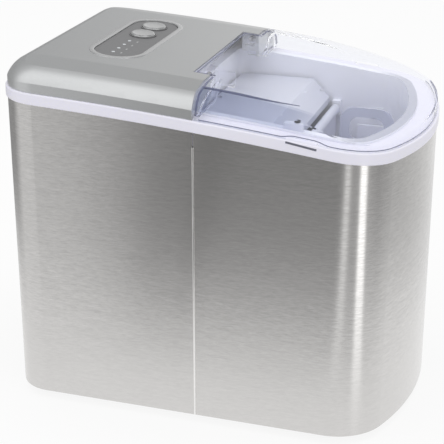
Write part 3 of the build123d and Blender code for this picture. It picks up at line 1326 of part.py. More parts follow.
RELAY_DEPTH = 12.0
RELAY_HALF = 17.0
RELAY_UP = (34.0, 66.0)
RELAY_ROUND = 2.0
with BuildPart() as compressor_relay:
    back = COMP_Y + COMP_RADIUS + SEAM_BAND + RELAY_DEPTH
    relay_z = (COMP_LOW + RELAY_UP[0], COMP_LOW + RELAY_UP[1])
    add(block((COMP_X - RELAY_HALF, COMP_X + RELAY_HALF), (COMP_Y, back), relay_z))
    add(peg((COMP_X, COMP_Y, COMP_LOW), (0, 0, 1), COMP_RADIUS, COMP_HEIGHT), mode=Mode.SUBTRACT)
    fillet(compressor_relay.faces().sort_by(Axis.Y)[-1].edges(), RELAY_ROUND)
finish_part(compressor_relay.part, "compressor_relay")

# Condenser: fin stack and serpentine coil
COIL_Z = [FLOOR_Z + COIL_FIRST_UP + COIL_PITCH * step for step in range(COIL_PASSES)]
COIL_END = 3.0
COIL_NEAR_Y = FIN_FIRST_Y - COIL_END
COIL_FAR_Y = FIN_LAST_Y + FIN + COIL_END
FIN_LIFT = 12.0
TURN = COIL_PITCH / 2
with BuildPart() as condenser_fins:
    for step in range(FIN_COUNT):
        y = FIN_FIRST_Y + FIN_PITCH * step
        low = FLOOR_Z if step in (0, FIN_COUNT - 1) else FLOOR_Z + FIN_LIFT
        fin_x = (COIL_X - FIN_WIDTH / 2, COIL_X + FIN_WIDTH / 2)
        add(block(fin_x, (y, y + FIN), (low, FLOOR_Z + FIN_HEIGHT)))
    for z in COIL_Z:
        add(peg((COIL_X, 0, z), (0, 1, 0), COIL_RADIUS, CASE_DEPTH), mode=Mode.SUBTRACT)
finish_part(condenser_fins.part, "condenser_fins")

with BuildPart() as condenser_coil:
    with BuildLine(Plane.YZ.offset(COIL_X)) as serpentine:
        for step in range(COIL_PASSES):
            z = COIL_Z[step]
            Line((COIL_FAR_Y, z), (COIL_NEAR_Y, z))
            if step < COIL_PASSES - 1:
                at_near = step % 2 == 0
                y = COIL_NEAR_Y if at_near else COIL_FAR_Y
                reach = y - TURN if at_near else y + TURN
                ThreePointArc((y, z), (reach, z + TURN), (y, z + COIL_PITCH))
    with BuildSketch(Plane(origin=(COIL_X, COIL_FAR_Y, COIL_Z[0]), z_dir=(0, -1, 0))):
        Circle(COIL_RADIUS)
    sweep(path=serpentine.wires()[0])
finish_part(condenser_coil.part, "condenser_coil")

# Fan frame, motor and rotor, blowing out through the side slots
SPIDER = 4.0
SPIDER_HUB = 19.0
SPIDER_ARMS = 4
SPIDER_ARM = 5.0
FAN_MOTOR_RADIUS = 17.0
FAN_MOTOR_LENGTH = 10.0
with BuildPart() as fan_frame:
    half = FAN_SQUARE / 2
    add(block(FAN_X, (FAN_Y - half, FAN_Y + half), (FLOOR_Z, FAN_Z + half)))
    add(peg((FAN_X[0], FAN_Y, FAN_Z), (1, 0, 0), FAN_BORE, FAN_DEPTH), mode=Mode.SUBTRACT)
    add(peg((FAN_X[1] - SPIDER, FAN_Y, FAN_Z), (1, 0, 0), SPIDER_HUB, SPIDER))
    with BuildSketch(Plane.YZ.offset(FAN_X[1] - SPIDER)):
        with Locations((FAN_Y, FAN_Z)):
            with PolarLocations(0, SPIDER_ARMS, start_angle=45):
                with Locations((FAN_BORE / 2 + OVERCUT, 0)):
                    Rectangle(FAN_BORE, SPIDER_ARM)
    extrude(amount=SPIDER)
finish_part(fan_frame.part, "fan_frame")

MOTOR_FACE = FAN_X[1] - SPIDER - FAN_MOTOR_LENGTH
ROTOR_SHAFT = 2.0
SHAFT_IN = 6.0
with BuildPart() as fan_motor:
    add(peg((MOTOR_FACE, FAN_Y, FAN_Z), (1, 0, 0), FAN_MOTOR_RADIUS, FAN_MOTOR_LENGTH))
    shaft_bore = peg((MOTOR_FACE, FAN_Y, FAN_Z), (1, 0, 0), ROTOR_SHAFT + PIN_PLAY, SHAFT_IN + OVERCUT)
    add(shaft_bore, mode=Mode.SUBTRACT)
finish_part(fan_motor.part, "fan_motor")

HUB_RADIUS = 14.0
HUB_LENGTH = 10.0
HUB_GAP = 1.2
HUB_FACE = MOTOR_FACE - HUB_GAP - HUB_LENGTH
BLADE_REACH = FAN_BORE - FAN_BLADE_GAP
BLADE_PITCH = 32.0
BLADE_CHORD = 17.0
BLADE = 1.4
BLADE_ROOT = 2.0
with BuildPart() as fan_rotor:
    add(peg((HUB_FACE, FAN_Y, FAN_Z), (1, 0, 0), HUB_RADIUS, HUB_LENGTH))
    add(peg((HUB_FACE, FAN_Y, FAN_Z), (1, 0, 0), ROTOR_SHAFT, HUB_LENGTH + HUB_GAP + SHAFT_IN))
    rotor_plane = Plane(origin=(HUB_FACE + HUB_LENGTH / 2, FAN_Y, FAN_Z), x_dir=(0, 1, 0), z_dir=(1, 0, 0))
    with Locations(rotor_plane):
        with PolarLocations(0, FAN_BLADES):
            blade_middle = (HUB_RADIUS + BLADE_REACH) / 2 - BLADE_ROOT
            with Locations(Location((blade_middle, 0, 0), (BLADE_PITCH, 0, 0))):
                Box(BLADE_REACH - HUB_RADIUS, BLADE_CHORD, BLADE)
    add(peg((0, FAN_Y, FAN_Z), (1, 0, 0), BLADE_REACH, CASE_WIDTH), mode=Mode.INTERSECT)
finish_part(fan_rotor.part, "fan_rotor")

# Refrigerant lines
LINE_Z = EVAP_Z + EVAP_THICK / 2
OVER_RISE = 26.0
OVER_Z = PORT_TOP + OVER_RISE
SMALL_BEND = 6.0
with BuildPart() as suction_line:
    add(
        pipe(
            [
                (SUCTION_X, HEADER_Y[1], LINE_Z),
                (SUCTION_X, COMP_Y - PORT_OFFSET, LINE_Z),
                (COMP_X + PORT_OFFSET, COMP_Y - PORT_OFFSET, LINE_Z),
                (COMP_X + PORT_OFFSET, COMP_Y - PORT_OFFSET, PORT_TOP),
            ],
            PIPE_RADIUS,
            PIPE_BEND,
        )
    )
finish_part(suction_line.part, "suction_line")

with BuildPart() as discharge_line:
    add(
        pipe(
            [
                (COMP_X + PORT_OFFSET, COMP_Y + PORT_OFFSET, PORT_TOP),
                (COMP_X + PORT_OFFSET, COMP_Y + PORT_OFFSET, OVER_Z),
                (COIL_X, COMP_Y + PORT_OFFSET, OVER_Z),
                (COIL_X, REAR_PIPE_Y, OVER_Z),
                (COIL_X, REAR_PIPE_Y, COIL_Z[-1]),
                (COIL_X, COIL_FAR_Y, COIL_Z[-1]),
            ],
            PIPE_RADIUS,
            SMALL_BEND,
        )
    )
finish_part(discharge_line.part, "discharge_line")

DRIER_RISE = 16.0
DRIER_LOW = COIL_Z[0] + DRIER_RISE
DRIER_ROUND = 4.0
with BuildPart() as liquid_line:
    add(
        pipe(
            [
                (COIL_X, COIL_FAR_Y, COIL_Z[0]),
                (COIL_X, REAR_PIPE_Y, COIL_Z[0]),
                (DRIER_X, REAR_PIPE_Y, COIL_Z[0]),
                (DRIER_X, REAR_PIPE_Y, DRIER_LOW),
            ],
            PIPE_RADIUS,
            SMALL_BEND,
        )
    )
finish_part(liquid_line.part, "liquid_line")

with BuildPart() as filter_drier:
    add(peg((DRIER_X, REAR_PIPE_Y, DRIER_LOW), (0, 0, 1), DRIER_RADIUS, DRIER_LENGTH))
    fillet(filter_drier.edges().filter_by(GeomType.CIRCLE), DRIER_ROUND)
finish_part(filter_drier.part, "filter_drier")

with BuildPart() as capillary_line:
    add(
        pipe(
            [
                (DRIER_X, REAR_PIPE_Y, DRIER_LOW + DRIER_LENGTH),
                (DRIER_X, REAR_PIPE_Y, LINE_Z),
                (CAPILLARY_X, REAR_PIPE_Y, LINE_Z),
                (CAPILLARY_X, HEADER_Y[1], LINE_Z),
            ],
            CAPILLARY_RADIUS,
            SMALL_BEND,
        )
    )
finish_part(capillary_line.part, "capillary_line")

# Hot gas valve and power board on the bulkhead
VALVE_SIDE = 30.0
VALVE_DEPTH = 24.0
VALVE_INSET = 35.5
VALVE_UP = 42.0
VALVE_ROUND = 4.0
VALVE_STEM = 6.0
VALVE_STEM_LENGTH = 14.0
VALVE_X = (BULK_HALF - VALVE_INSET - VALVE_SIDE, BULK_HALF - VALVE_INSET)
VALVE_LOW = FLOOR_Z + FIN_HEIGHT + VALVE_UP
BULK_BACK = BULK_Y + BULKHEAD
with BuildPart() as hot_gas_valve:
    add(block(VALVE_X, (BULK_BACK, BULK_BACK + VALVE_DEPTH), (VALVE_LOW, VALVE_LOW + VALVE_SIDE)))
    fillet(hot_gas_valve.edges().filter_by(Axis.Y), VALVE_ROUND)
    stem_top = (sum(VALVE_X) / 2, BULK_BACK + VALVE_DEPTH / 2, VALVE_LOW)
    add(peg(stem_top, (0, 0, -1), VALVE_STEM, VALVE_STEM_LENGTH))
finish_part(hot_gas_valve.part, "hot_gas_valve")

POWER_BOARD_WIDE = 70.0
POWER_BOARD_TALL = 50.0
POWER_BOARD_INSET = 13.5
POWER_BOARD_UP = 166.0
POWER_BOARD_X = (POWER_BOARD_INSET - BULK_HALF, POWER_BOARD_INSET - BULK_HALF + POWER_BOARD_WIDE)
POWER_BOARD_Z = (FLOOR_Z + POWER_BOARD_UP, FLOOR_Z + POWER_BOARD_UP + POWER_BOARD_TALL)
STANDOFF = 5.0
STANDOFF_RADIUS = 3.0
STANDOFF_INSET = 5.0
TRANSFORMER = (28.0, 18.0, 28.0)
TRANSFORMER_INSET = 9.0
CAPACITOR = 8.0
CAPACITOR_HEIGHT = 16.0
CAPACITOR_INSET = (18.0, 24.0)
BOARD_FACE = BULK_BACK + STANDOFF + BOARD
with BuildPart() as power_board:
    add(block(POWER_BOARD_X, (BULK_BACK + STANDOFF, BOARD_FACE), POWER_BOARD_Z))
    for x in (POWER_BOARD_X[0] + STANDOFF_INSET, POWER_BOARD_X[1] - STANDOFF_INSET):
        for z in (POWER_BOARD_Z[0] + STANDOFF_INSET, POWER_BOARD_Z[1] - STANDOFF_INSET):
            add(peg((x, BULK_BACK, z), (0, 1, 0), STANDOFF_RADIUS, STANDOFF))
    corner = (POWER_BOARD_X[0] + TRANSFORMER_INSET, BOARD_FACE, POWER_BOARD_Z[0] + TRANSFORMER_INSET)
    add(block(*[(start, start + size) for start, size in zip(corner, TRANSFORMER)]))
    spot = (POWER_BOARD_X[1] - CAPACITOR_INSET[0], BOARD_FACE, POWER_BOARD_Z[0] + CAPACITOR_INSET[1])
    add(peg(spot, (0, 1, 0), CAPACITOR, CAPACITOR_HEIGHT))
finish_part(power_board.part, "power_board")

# Cord gland in the rear sheet
GLAND_HEAD = 11.0
GLAND_HEAD_DEPTH = 1.2
GLAND_LENGTH = 12.0
with BuildPart() as cord_gland:
    add(peg((GLAND_X, INNER_REAR - GLAND_HEAD_DEPTH, GLAND_Z), (0, 1, 0), GLAND_HEAD, GLAND_HEAD_DEPTH))
    add(peg((GLAND_X, HALF_D, GLAND_Z), (0, -1, 0), GLAND_RADIUS, GLAND_LENGTH))
    add(peg((GLAND_X, HALF_D, GLAND_Z), (0, -1, 0), GLAND_BORE, GLAND_LENGTH), mode=Mode.SUBTRACT)
finish_part(cord_gland.part, "cord_gland")
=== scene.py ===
"""Looks of the countertop ice maker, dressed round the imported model."""
import logging
import math
from dataclasses import dataclass, field
from enum import Enum
from typing import Sequence, Union

import bpy
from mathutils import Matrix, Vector


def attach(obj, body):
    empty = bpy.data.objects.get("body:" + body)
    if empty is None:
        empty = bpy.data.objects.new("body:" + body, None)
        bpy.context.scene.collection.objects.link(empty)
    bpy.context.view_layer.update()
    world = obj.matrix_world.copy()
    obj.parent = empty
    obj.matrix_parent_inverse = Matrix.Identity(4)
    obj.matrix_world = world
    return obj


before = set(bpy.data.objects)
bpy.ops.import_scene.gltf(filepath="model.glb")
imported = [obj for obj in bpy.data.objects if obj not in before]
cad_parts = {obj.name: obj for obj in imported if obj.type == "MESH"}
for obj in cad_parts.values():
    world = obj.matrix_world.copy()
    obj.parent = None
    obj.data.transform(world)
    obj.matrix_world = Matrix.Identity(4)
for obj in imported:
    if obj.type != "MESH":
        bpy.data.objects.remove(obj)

LOG = logging.getLogger("ice_maker")
PHOTO_SIDE = 444
SENSOR_WIDTH = 36.0

Span = tuple[float, float]
Triple = tuple[float, float, float]
Colour = Triple
Socket = bpy.types.NodeSocket
Piece = bpy.types.Object

HERE: Triple = (0.0, 0.0, 0.0)
UP: Triple = (0.0, 0.0, 1.0)
FRONT: Triple = (0.0, -1.0, 0.0)
UNIT: Span = (0.0, 1.0)
WHITE: Colour = (1.0, 1.0, 1.0)
SIDES = (("left", -1.0), ("right", 1.0))
FACING = 0.9
MERGE = 1e-6
BEVEL_STEPS = 3
EDGE_SAMPLES = 4
OVAL_POINTS = 96
PATH_ORDER = 3
COLOUR_A, COLOUR_B, COLOUR_OUT = 6, 7, 2
SMOOTH_ANGLE = math.radians(40.0)


class Body(Enum):
    """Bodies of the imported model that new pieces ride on."""

    HOUSING = "housing"
    LID = "lid"
    POWER_BUTTON = "power_button"
    SELECT_BUTTON = "select_button"


class Slot(Enum):
    """Material slots of the record."""

    CASING = "brushed_casing"
    PAINT = "silver_paint"
    LID = "clear_lid"
    WHITE = "white_plastic"
    PANEL = "panel_grey"
    BUTTON = "button_silver"
    LENS = "lens_clear"
    BOARD = "board_green"
    RUBBER = "rubber_black"
    ZINC = "zinc_steel"
    SCREW = "screw_steel"
    FOAM = "foam_white"
    ENAMEL = "black_paint"
    COPPER = "copper"
    FIN = "aluminium_fin"
    BLACK = "black_plastic"
    PLATED = "plated_evaporator"
    SILICONE = "silicone"


class Look(Enum):
    """Finishes that pieces are dressed in."""

    CASING = "brushed_casing"
    SEAM = "seam_steel_highlight"
    SILVER = "silver_cover"
    LID = "clear_lid"
    LID_EDGE = "lid_shade_line"
    RING = "ring_white"
    INNER = "inner_white"
    TUB = "tub_white_front_shade"
    HOOD = "white_painted_shade"
    SCOOP = "scoop_clear"
    PANEL = "panel_grey"
    BUTTON = "button_silver"
    LENS = "lens_clear"
    MARK = "panel_mark"
    BOARD = "board_green"
    RUBBER = "rubber_black"
    BUMPER = "bumper_rubber_shadow"
    ZINC = "zinc_steel"
    SCREW = "screw_steel"
    FOAM = "foam_white"
    ENAMEL = "black_enamel"
    COPPER = "copper_tube"
    FIN = "aluminium_fin"
    BLACK = "black_plastic"
    PLATED = "plated_evaporator"
    SILICONE = "silicone_hose"


@dataclass(frozen=True)
class Arch:
    """Arched line of the casing's top edge, from the part's driving sizes in metres."""

    depth: float = 0.356
    top_rear: float = 0.275
    top_front: float = 0.243
    rise: float = 0.0045
    foot: float = 0.008

    def circle(self) -> Triple:
        """Find the circle that the line is a piece of.

        Returns:
            Its centre's y and z, and its radius.
        """
        drop = self.top_rear - self.top_front
        chord = math.hypot(self.depth, drop)
        radius = (chord**2 / 4 + self.rise**2) / (2 * self.rise)
        down = radius - self.rise
        middle = self.foot + (self.top_rear + self.top_front) / 2
        return down * drop / chord, middle - down * self.depth / chord, radius

    def level(self, y: float, lift: float = 0.0) -> float:
        """Height of the line at y, lifted square to itself."""
        centre_y, centre_z, radius = self.circle()
        return centre_z + math.sqrt((radius + lift) ** 2 - (y - centre_y) ** 2)

    def lean(self, y: float, lift: float = 0.0) -> float:
        """Turn about X, in radians, that brings +Z onto the line's normal at y."""
        centre_y, _, radius = self.circle()
        return -math.asin((y - centre_y) / (radius + lift))


ARCH = Arch()


def thrice(value: float) -> Triple:
    """Same value for three axes or channels."""
    return (value, value, value)


def about(value: float, swing: Span) -> Span:
    """Range about a value, by how far its ends lie from it."""
    return (value + swing[0], value + swing[1])


def tint(colour: Colour, factor: float) -> Colour:
    """Colour made lighter or darker by a factor."""
    return tuple(min(1.0, channel * factor) for channel in colour)


class Bench:
    """Node tree with short calls that add and join its nodes."""

    def __init__(self, tree: bpy.types.NodeTree, output: str = "ShaderNodeOutputMaterial") -> None:
        """Start an empty tree.

        Args:
            tree: the tree of a material or a world.
            output: Blender's name of its output node.
        """
        self.tree = tree
        self.tree.nodes.clear()
        self.output = self.add(output)

    def add(self, kind: str, **settings: object) -> bpy.types.Node:
        """Add a node and set its properties.

        Args:
            kind: Blender's name of the node type.
            settings: properties of the node by name.

        Returns:
            The new node.
        """
        node = self.tree.nodes.new(kind)
        for name, value in settings.items():
            setattr(node, name, value)
        return node

    def join(self, source: Socket, target: Socket) -> None:
        """Link two sockets."""
        self.tree.links.new(source, target)

    def place(self, output: str = "Object") -> Socket:
        """Texture coordinates of the surface or sky."""
        return self.add("ShaderNodeTexCoord").outputs[output]

    def facing_up(self) -> Socket:
        """How far the surface faces up, from -1 to 1."""
        return self.part_of(self.add("ShaderNodeNewGeometry").outputs["Normal"])

    def coords(self, scale: Triple) -> Socket:
        """Stretch the object coordinates.

        Args:
            scale: units of the pattern per metre, along each axis.

        Returns:
            The stretched coordinates.
        """
        mapping = self.add("ShaderNodeMapping")
        mapping.inputs["Scale"].default_value = scale
        self.join(self.place(), mapping.inputs["Vector"])
        return mapping.outputs["Vector"]

    def noise(
        self, scale: Triple, detail: float = 2.0, rough: float = 0.5, distort: float = 0.0
    ) -> Socket:
        """Noise over the object coordinates.

        Args:
            scale: units of the noise per metre, along each axis.
            detail: octaves.
            rough: weight of the finer octaves.
            distort: how far the pattern is pulled about.

        Returns:
            The noise value, about 0.5 on average.
        """
        node = self.add("ShaderNodeTexNoise")
        node.inputs["Scale"].default_value = 1.0
        node.inputs["Detail"].default_value = detail
        node.inputs["Roughness"].default_value = rough
        node.inputs["Distortion"].default_value = distort
        self.join(self.coords(scale), node.inputs["Vector"])
        return node.outputs["Fac"]

    def cells(self, scale: Triple) -> Socket:
        """Cell pattern over the object coordinates.

        Args:
            scale: cells per metre, along each axis.

        Returns:
            The distance to the nearest cell's centre.
        """
        node = self.add("ShaderNodeTexVoronoi")
        node.inputs["Scale"].default_value = 1.0
        self.join(self.coords(scale), node.inputs["Vector"])
        return node.outputs["Distance"]

    def part_of(self, vector: Socket, axis: str = "Z") -> Socket:
        """Take one axis of a vector.

        Args:
            vector: the vector.
            axis: X, Y or Z.

        Returns:
            The value along that axis.
        """
        node = self.add("ShaderNodeSeparateXYZ")
        self.join(vector, node.inputs["Vector"])
        return node.outputs[axis]

    def spread(
        self, value: Socket, source: Span, target: Span = UNIT, soft: bool = False
    ) -> Socket:
        """Map one range of values to another, clamped.

        Args:
            value: the value to map.
            source: its range.
            target: the range that it is mapped to.
            soft: ease in and out of the ends.

        Returns:
            The mapped value.
        """
        node = self.add("ShaderNodeMapRange", interpolation_type="SMOOTHSTEP" if soft else "LINEAR")
        node.inputs["From Min"].default_value, node.inputs["From Max"].default_value = source
        node.inputs["To Min"].default_value, node.inputs["To Max"].default_value = target
        self.join(value, node.inputs["Value"])
        return node.outputs["Result"]

    def ramp(self, value: Socket, stops: Sequence[tuple[float, Colour]]) -> Socket:
        """Colour ramp over a value.

        Args:
            value: from 0 to 1.
            stops: places on the ramp in rising order, with their colours.

        Returns:
            The colour.
        """
        node = self.add("ShaderNodeValToRGB")
        while len(node.color_ramp.elements) < len(stops):
            node.color_ramp.elements.new(1.0)
        for element, (place, colour) in zip(node.color_ramp.elements, stops):
            element.position = place
            element.color = (*colour, 1.0)
        self.join(value, node.inputs["Fac"])
        return node.outputs["Color"]

    def shades(self, value: Socket, colour: Colour, depths: Sequence[Span]) -> Socket:
        """Ramp of one colour, by places on it and factors of the colour."""
        return self.ramp(value, [(place, tint(colour, factor)) for place, factor in depths])

    def greys(self, value: Socket, tones: Sequence[Span]) -> Socket:
        """Ramp of greys, by places on it and tones."""
        return self.ramp(value, [(place, thrice(tone)) for place, tone in tones])

    def math(self, operation: str, first: Socket, second: Union[Socket, float] = 0.0) -> Socket:
        """Do one step of arithmetic.

        Args:
            operation: Blender's name of it.
            first: a value.
            second: another value, or a number.

        Returns:
            The result.
        """
        node = self.add("ShaderNodeMath", operation=operation)
        self.join(first, node.inputs[0])
        if isinstance(second, Socket):
            self.join(second, node.inputs[1])
        else:
            node.inputs[1].default_value = second
        return node.outputs["Value"]

    def sum_of(self, first: Socket, second: Socket, share: float) -> Socket:
        """First value plus a share of the second."""
        return self.math("ADD", self.math("MULTIPLY", second, share), first)

    def mix(self, share: Socket, first: Union[Socket, Colour], second: Socket) -> Socket:
        """Blend two colours.

        Args:
            share: how much of the second there is.
            first: a colour that varies, or is the same all over.
            second: a colour that varies.

        Returns:
            The blended colour.
        """
        node = self.add("ShaderNodeMix", data_type="RGBA")
        self.join(share, node.inputs["Factor"])
        if isinstance(first, Socket):
            self.join(first, node.inputs[COLOUR_A])
        else:
            node.inputs[COLOUR_A].default_value = (*first, 1.0)
        self.join(second, node.inputs[COLOUR_B])
        return node.outputs[COLOUR_OUT]

    def bump(self, height: Socket, relief: Span, edge: float = 0.0) -> Socket:
        """Bend the normal by a height.

        Args:
            height: the height field.
            relief: strength from 0 to 1, and full height in metres.
            edge: radius of the softened edges in metres, or 0 for none.

        Returns:
            The bent normal.
        """
        node = self.add("ShaderNodeBump")
        node.inputs["Strength"].default_value, node.inputs["Distance"].default_value = relief
        self.join(height, node.inputs["Height"])
        if edge:
            soft = self.add("ShaderNodeBevel", samples=EDGE_SAMPLES)
            soft.inputs["Radius"].default_value = edge
            self.join(soft.outputs["Normal"], node.inputs["Normal"])
        return node.outputs["Normal"]

    def surface(self, links: dict[str, Socket], **values: object) -> bpy.types.Node:
        """Principled surface with some sockets linked and others set.

        Args:
            links: sockets by input name.
            values: plain values, with spaces of the input name written as underscores.

        Returns:
            The shader node, joined to the output.
        """
        node = self.add("ShaderNodeBsdfPrincipled")
        for name, value in values.items():
            node.inputs[name.replace("_", " ")].default_value = value
        for name, socket in links.items():
            self.join(socket, node.inputs[name])
        self.join(node.outputs["BSDF"], self.output.inputs["Surface"])
        return node

    def blend(self, share: Socket, first: bpy.types.Node, second: bpy.types.Node) -> None:
        """Join a blend of two shaders to the output.

        Args:
            share: how much of the second there is.
            first: a shader node.
            second: another shader node.
        """
        node = self.add("ShaderNodeMixShader")
        self.join(share, node.inputs["Fac"])
        self.join(first.outputs[0], node.inputs[1])
        self.join(second.outputs[0], node.inputs[2])
        self.join(node.outputs["Shader"], self.output.inputs["Surface"])


def new_material(name: str) -> tuple[bpy.types.Material, Bench]:
    """Start a material.

    Args:
        name: its name.

    Returns:
        The material, and the bench of its empty node tree.
    """
    material = bpy.data.materials.new(name)
    material.use_nodes = True
    return material, Bench(material.node_tree)


@dataclass(frozen=True)
class Finish:
    """Surface of a piece, with the record's slot that it belongs to."""

    slot: Slot
    colour: Colour

    def material(self, name: str) -> bpy.types.Material:
        """Make the finish as a material.

        Args:
            name: the material's name.

        Returns:
            The material.
        """
        material, bench = new_material(name)
        self.paint(bench)
        return material

    def paint(self, bench: Bench) -> None:
        """Join the nodes of the finish on a bench."""
        raise NotImplementedError


@dataclass(frozen=True)
class BrushedSteel(Finish):
    """Stainless sheet with short horizontal brush lines that draw its highlights out upright."""

    roughness: float = 0.22
    gloss_swing: Span = (0.02, -0.02)
    line: Triple = (150.0, 150.0, 1150.0)
    line_detail: Span = (3.0, 0.6)
    streak: Triple = (26.0, 26.0, 330.0)
    streak_share: float = 0.3
    band: Span = (0.4, 0.9)
    depths: tuple[Span, ...] = ((0.0, 0.88), (0.5, 1.0), (1.0, 1.12))
    relief: Span = (0.03, 0.0001)
    fade: Span = (0.03, 0.13)
    fade_to: float = 0.3
    middle: float = 0.65
    stretch: float = 0.92
    stretch_turn: float = 0.25

    def brushed(self, bench: Bench) -> Socket:
        """Fine lines and broad streaks, fainter towards the foot where the sheet is polished.

        Args:
            bench: takes the nodes.

        Returns:
            The lines' value.
        """
        fine = bench.noise(self.line, *self.line_detail)
        lines = bench.sum_of(fine, bench.noise(self.streak), self.streak_share)
        height = bench.part_of(bench.place())
        depth = bench.spread(height, self.fade, (self.fade_to, 1.0), soft=True)
        swing = bench.math("MULTIPLY", bench.math("SUBTRACT", lines, self.middle), depth)
        return bench.math("ADD", swing, self.middle)

    def paint(self, bench: Bench) -> None:
        """Brush lines in colour, gloss and relief.

        Args:
            bench: takes the nodes.
        """
        lines = self.brushed(bench)
        tone = bench.spread(lines, self.band)
        around = bench.add("ShaderNodeTangent", direction_type="RADIAL", axis="Z")
        gloss = about(self.roughness, self.gloss_swing)
        bench.surface(
            {
                "Base Color": bench.shades(tone, self.colour, self.depths),
                "Roughness": bench.spread(lines, self.band, gloss),
                "Normal": bench.bump(lines, self.relief),
                "Tangent": around.outputs["Tangent"],
            },
            Metallic=1.0,
            Anisotropic=self.stretch,
            Anisotropic_Rotation=self.stretch_turn,
        )


@dataclass(frozen=True)
class MetallicPaint(Finish):
    """Silver paint with fine flakes under a clear coat."""

    metallic: float = 0.8
    roughness: float = 0.3
    coat: float = 0.25
    edge: float = 0.0006
    gloss_swing: Span = (-0.03, 0.04)
    coat_roughness: float = 0.12
    flake: float = 2600.0
    cloud: float = 14.0
    cloud_share: float = 0.35
    band: Span = (0.2, 1.0)
    depths: tuple[Span, ...] = ((0.0, 1.05), (0.6, 1.0), (1.0, 0.95))
    peel: float = 420.0
    relief: Span = (0.04, 0.0002)

    def paint(self, bench: Bench) -> None:
        """Flakes in colour and gloss, with a faint orange peel.

        Args:
            bench: takes the nodes.
        """
        flakes = bench.cells(thrice(self.flake))
        mixed = bench.sum_of(flakes, bench.noise(thrice(self.cloud)), self.cloud_share)
        tone = bench.spread(mixed, self.band)
        peel = bench.noise(thrice(self.peel), detail=1.0)
        gloss = about(self.roughness, self.gloss_swing)
        bench.surface(
            {
                "Base Color": bench.shades(tone, self.colour, self.depths),
                "Roughness": bench.spread(mixed, self.band, gloss),
                "Normal": bench.bump(peel, self.relief, self.edge),
            },
            Metallic=self.metallic,
            Coat_Weight=self.coat,
            Coat_Roughness=self.coat_roughness,
        )


@dataclass(frozen=True)
class ClearPlastic(Finish):
    """Clear moulded plastic, deeper in tint through its upright walls than through its top."""

    wall: Colour
    roughness: float = 0.02
    ior: float = 1.45
    clarity: float = 1.0
    coat: float = 0.0
    coat_roughness: float = 0.03
    dust: float = 900.0
    dust_band: Span = (0.3, 0.8)
    gloss_swing: Span = (0.0, 0.03)
    ripple: float = 22.0
    relief: Span = (0.012, 0.002)
    flat: Span = (0.25, 0.9)

    def tinted(self, bench: Bench) -> Socket:
        """Colour by how upright the surface is."""
        flat = bench.spread(bench.math("ABSOLUTE", bench.facing_up()), self.flat)
        return bench.ramp(flat, [(0.0, self.wall), (1.0, self.colour)])

    def paint(self, bench: Bench) -> None:
        """Refraction with a soft ripple, and a tinted pass for light that reaches what is inside.

        Args:
            bench: takes the nodes.
        """
        dust = bench.noise(thrice(self.dust))
        gloss = about(self.roughness, self.gloss_swing)
        clear = bench.surface(
            {
                "Base Color": self.tinted(bench),
                "Roughness": bench.spread(dust, self.dust_band, gloss),
                "Normal": bench.bump(bench.noise(thrice(self.ripple)), self.relief),
            },
            Transmission_Weight=self.clarity,
            IOR=self.ior,
            Coat_Weight=self.coat,
            Coat_Roughness=self.coat_roughness,
        )
        path = bench.add("ShaderNodeLightPath").outputs
        passing = bench.math("MAXIMUM", path["Is Shadow Ray"], path["Is Diffuse Ray"])
        see_through = bench.add("ShaderNodeBsdfTransparent")
        see_through.inputs["Color"].default_value = (*self.colour, 1.0)
        bench.blend(passing, clear, see_through)


@dataclass(frozen=True)
class FlankShadedPlastic(ClearPlastic):
    """Clear plastic with painted shade in the tint of its left flank, beyond a crease along the
    body.
    """

    # Painted shade: the flank's darker tint stands in for the shaded inside seen through the lid.
    flank_shade: Colour = (0.60, 0.63, 0.73)
    crease_x: Span = (-0.0997, -0.1007)
    fade_y: Span = (-0.115, -0.070)
    slope: Span = (0.1, 0.3)
    cloud: float = 30.0
    depths: tuple[Span, ...] = ((0.3, 0.97), (0.7, 1.03))

    def tinted(self, bench: Bench) -> Socket:
        """Colour of the plain plastic, blended into the flank's painted shade.

        Args:
            bench: takes the nodes.

        Returns:
            The colour.
        """
        place = bench.place()
        beyond = bench.spread(bench.part_of(place, "X"), self.crease_x)
        back = bench.spread(bench.part_of(place, "Y"), self.fade_y, soft=True)
        sloped = bench.spread(bench.math("ABSOLUTE", bench.facing_up()), self.slope)
        share = bench.math("MULTIPLY", bench.math("MULTIPLY", beyond, back), sloped)
        shaded = bench.shades(bench.noise(thrice(self.cloud)), self.flank_shade, self.depths)
        return bench.mix(share, super().tinted(bench), shaded)


@dataclass(frozen=True)
class MouldedPlastic(Finish):
    """Opaque moulded plastic with a fine spark-eroded grain and softened edges."""

    roughness: float = 0.4
    grain: float = 1500.0
    grain_strength: float = 0.06
    shade: float = 0.04
    scatter: float = 0.0
    edge: float = 0.0006
    grain_depth: float = 0.0002
    grain_share: float = 0.4
    cloud: float = 16.0
    cloud_detail: float = 3.0
    band: Span = (0.4, 1.0)
    gloss_swing: Span = (-0.05, 0.06)
    scatter_radius: Triple = (0.002, 0.002, 0.003)

    def clouded(self, bench: Bench, mixed: Socket, colour: Colour) -> Socket:
        """Colour that varies slowly about its own."""
        depths = ((0.0, 1.0 - self.shade), (1.0, 1.0 + self.shade))
        return bench.shades(bench.spread(mixed, self.band), colour, depths)

    def tinted(self, bench: Bench, mixed: Socket) -> Socket:
        """Colour all over."""
        return self.clouded(bench, mixed, self.colour)

    def paint(self, bench: Bench) -> None:
        """Grain in relief and gloss, with slow clouds in the colour.

        Args:
            bench: takes the nodes.
        """
        grain = bench.noise(thrice(self.grain))
        cloud = bench.noise(thrice(self.cloud), self.cloud_detail)
        mixed = bench.sum_of(cloud, grain, self.grain_share)
        gloss = about(self.roughness, self.gloss_swing)
        bench.surface(
            {
                "Base Color": self.tinted(bench, mixed),
                "Roughness": bench.spread(mixed, self.band, gloss),
                "Normal": bench.bump(grain, (self.grain_strength, self.grain_depth), self.edge),
            },
            Subsurface_Weight=self.scatter,
            Subsurface_Radius=self.scatter_radius,
            Subsurface_Scale=1.0,
        )


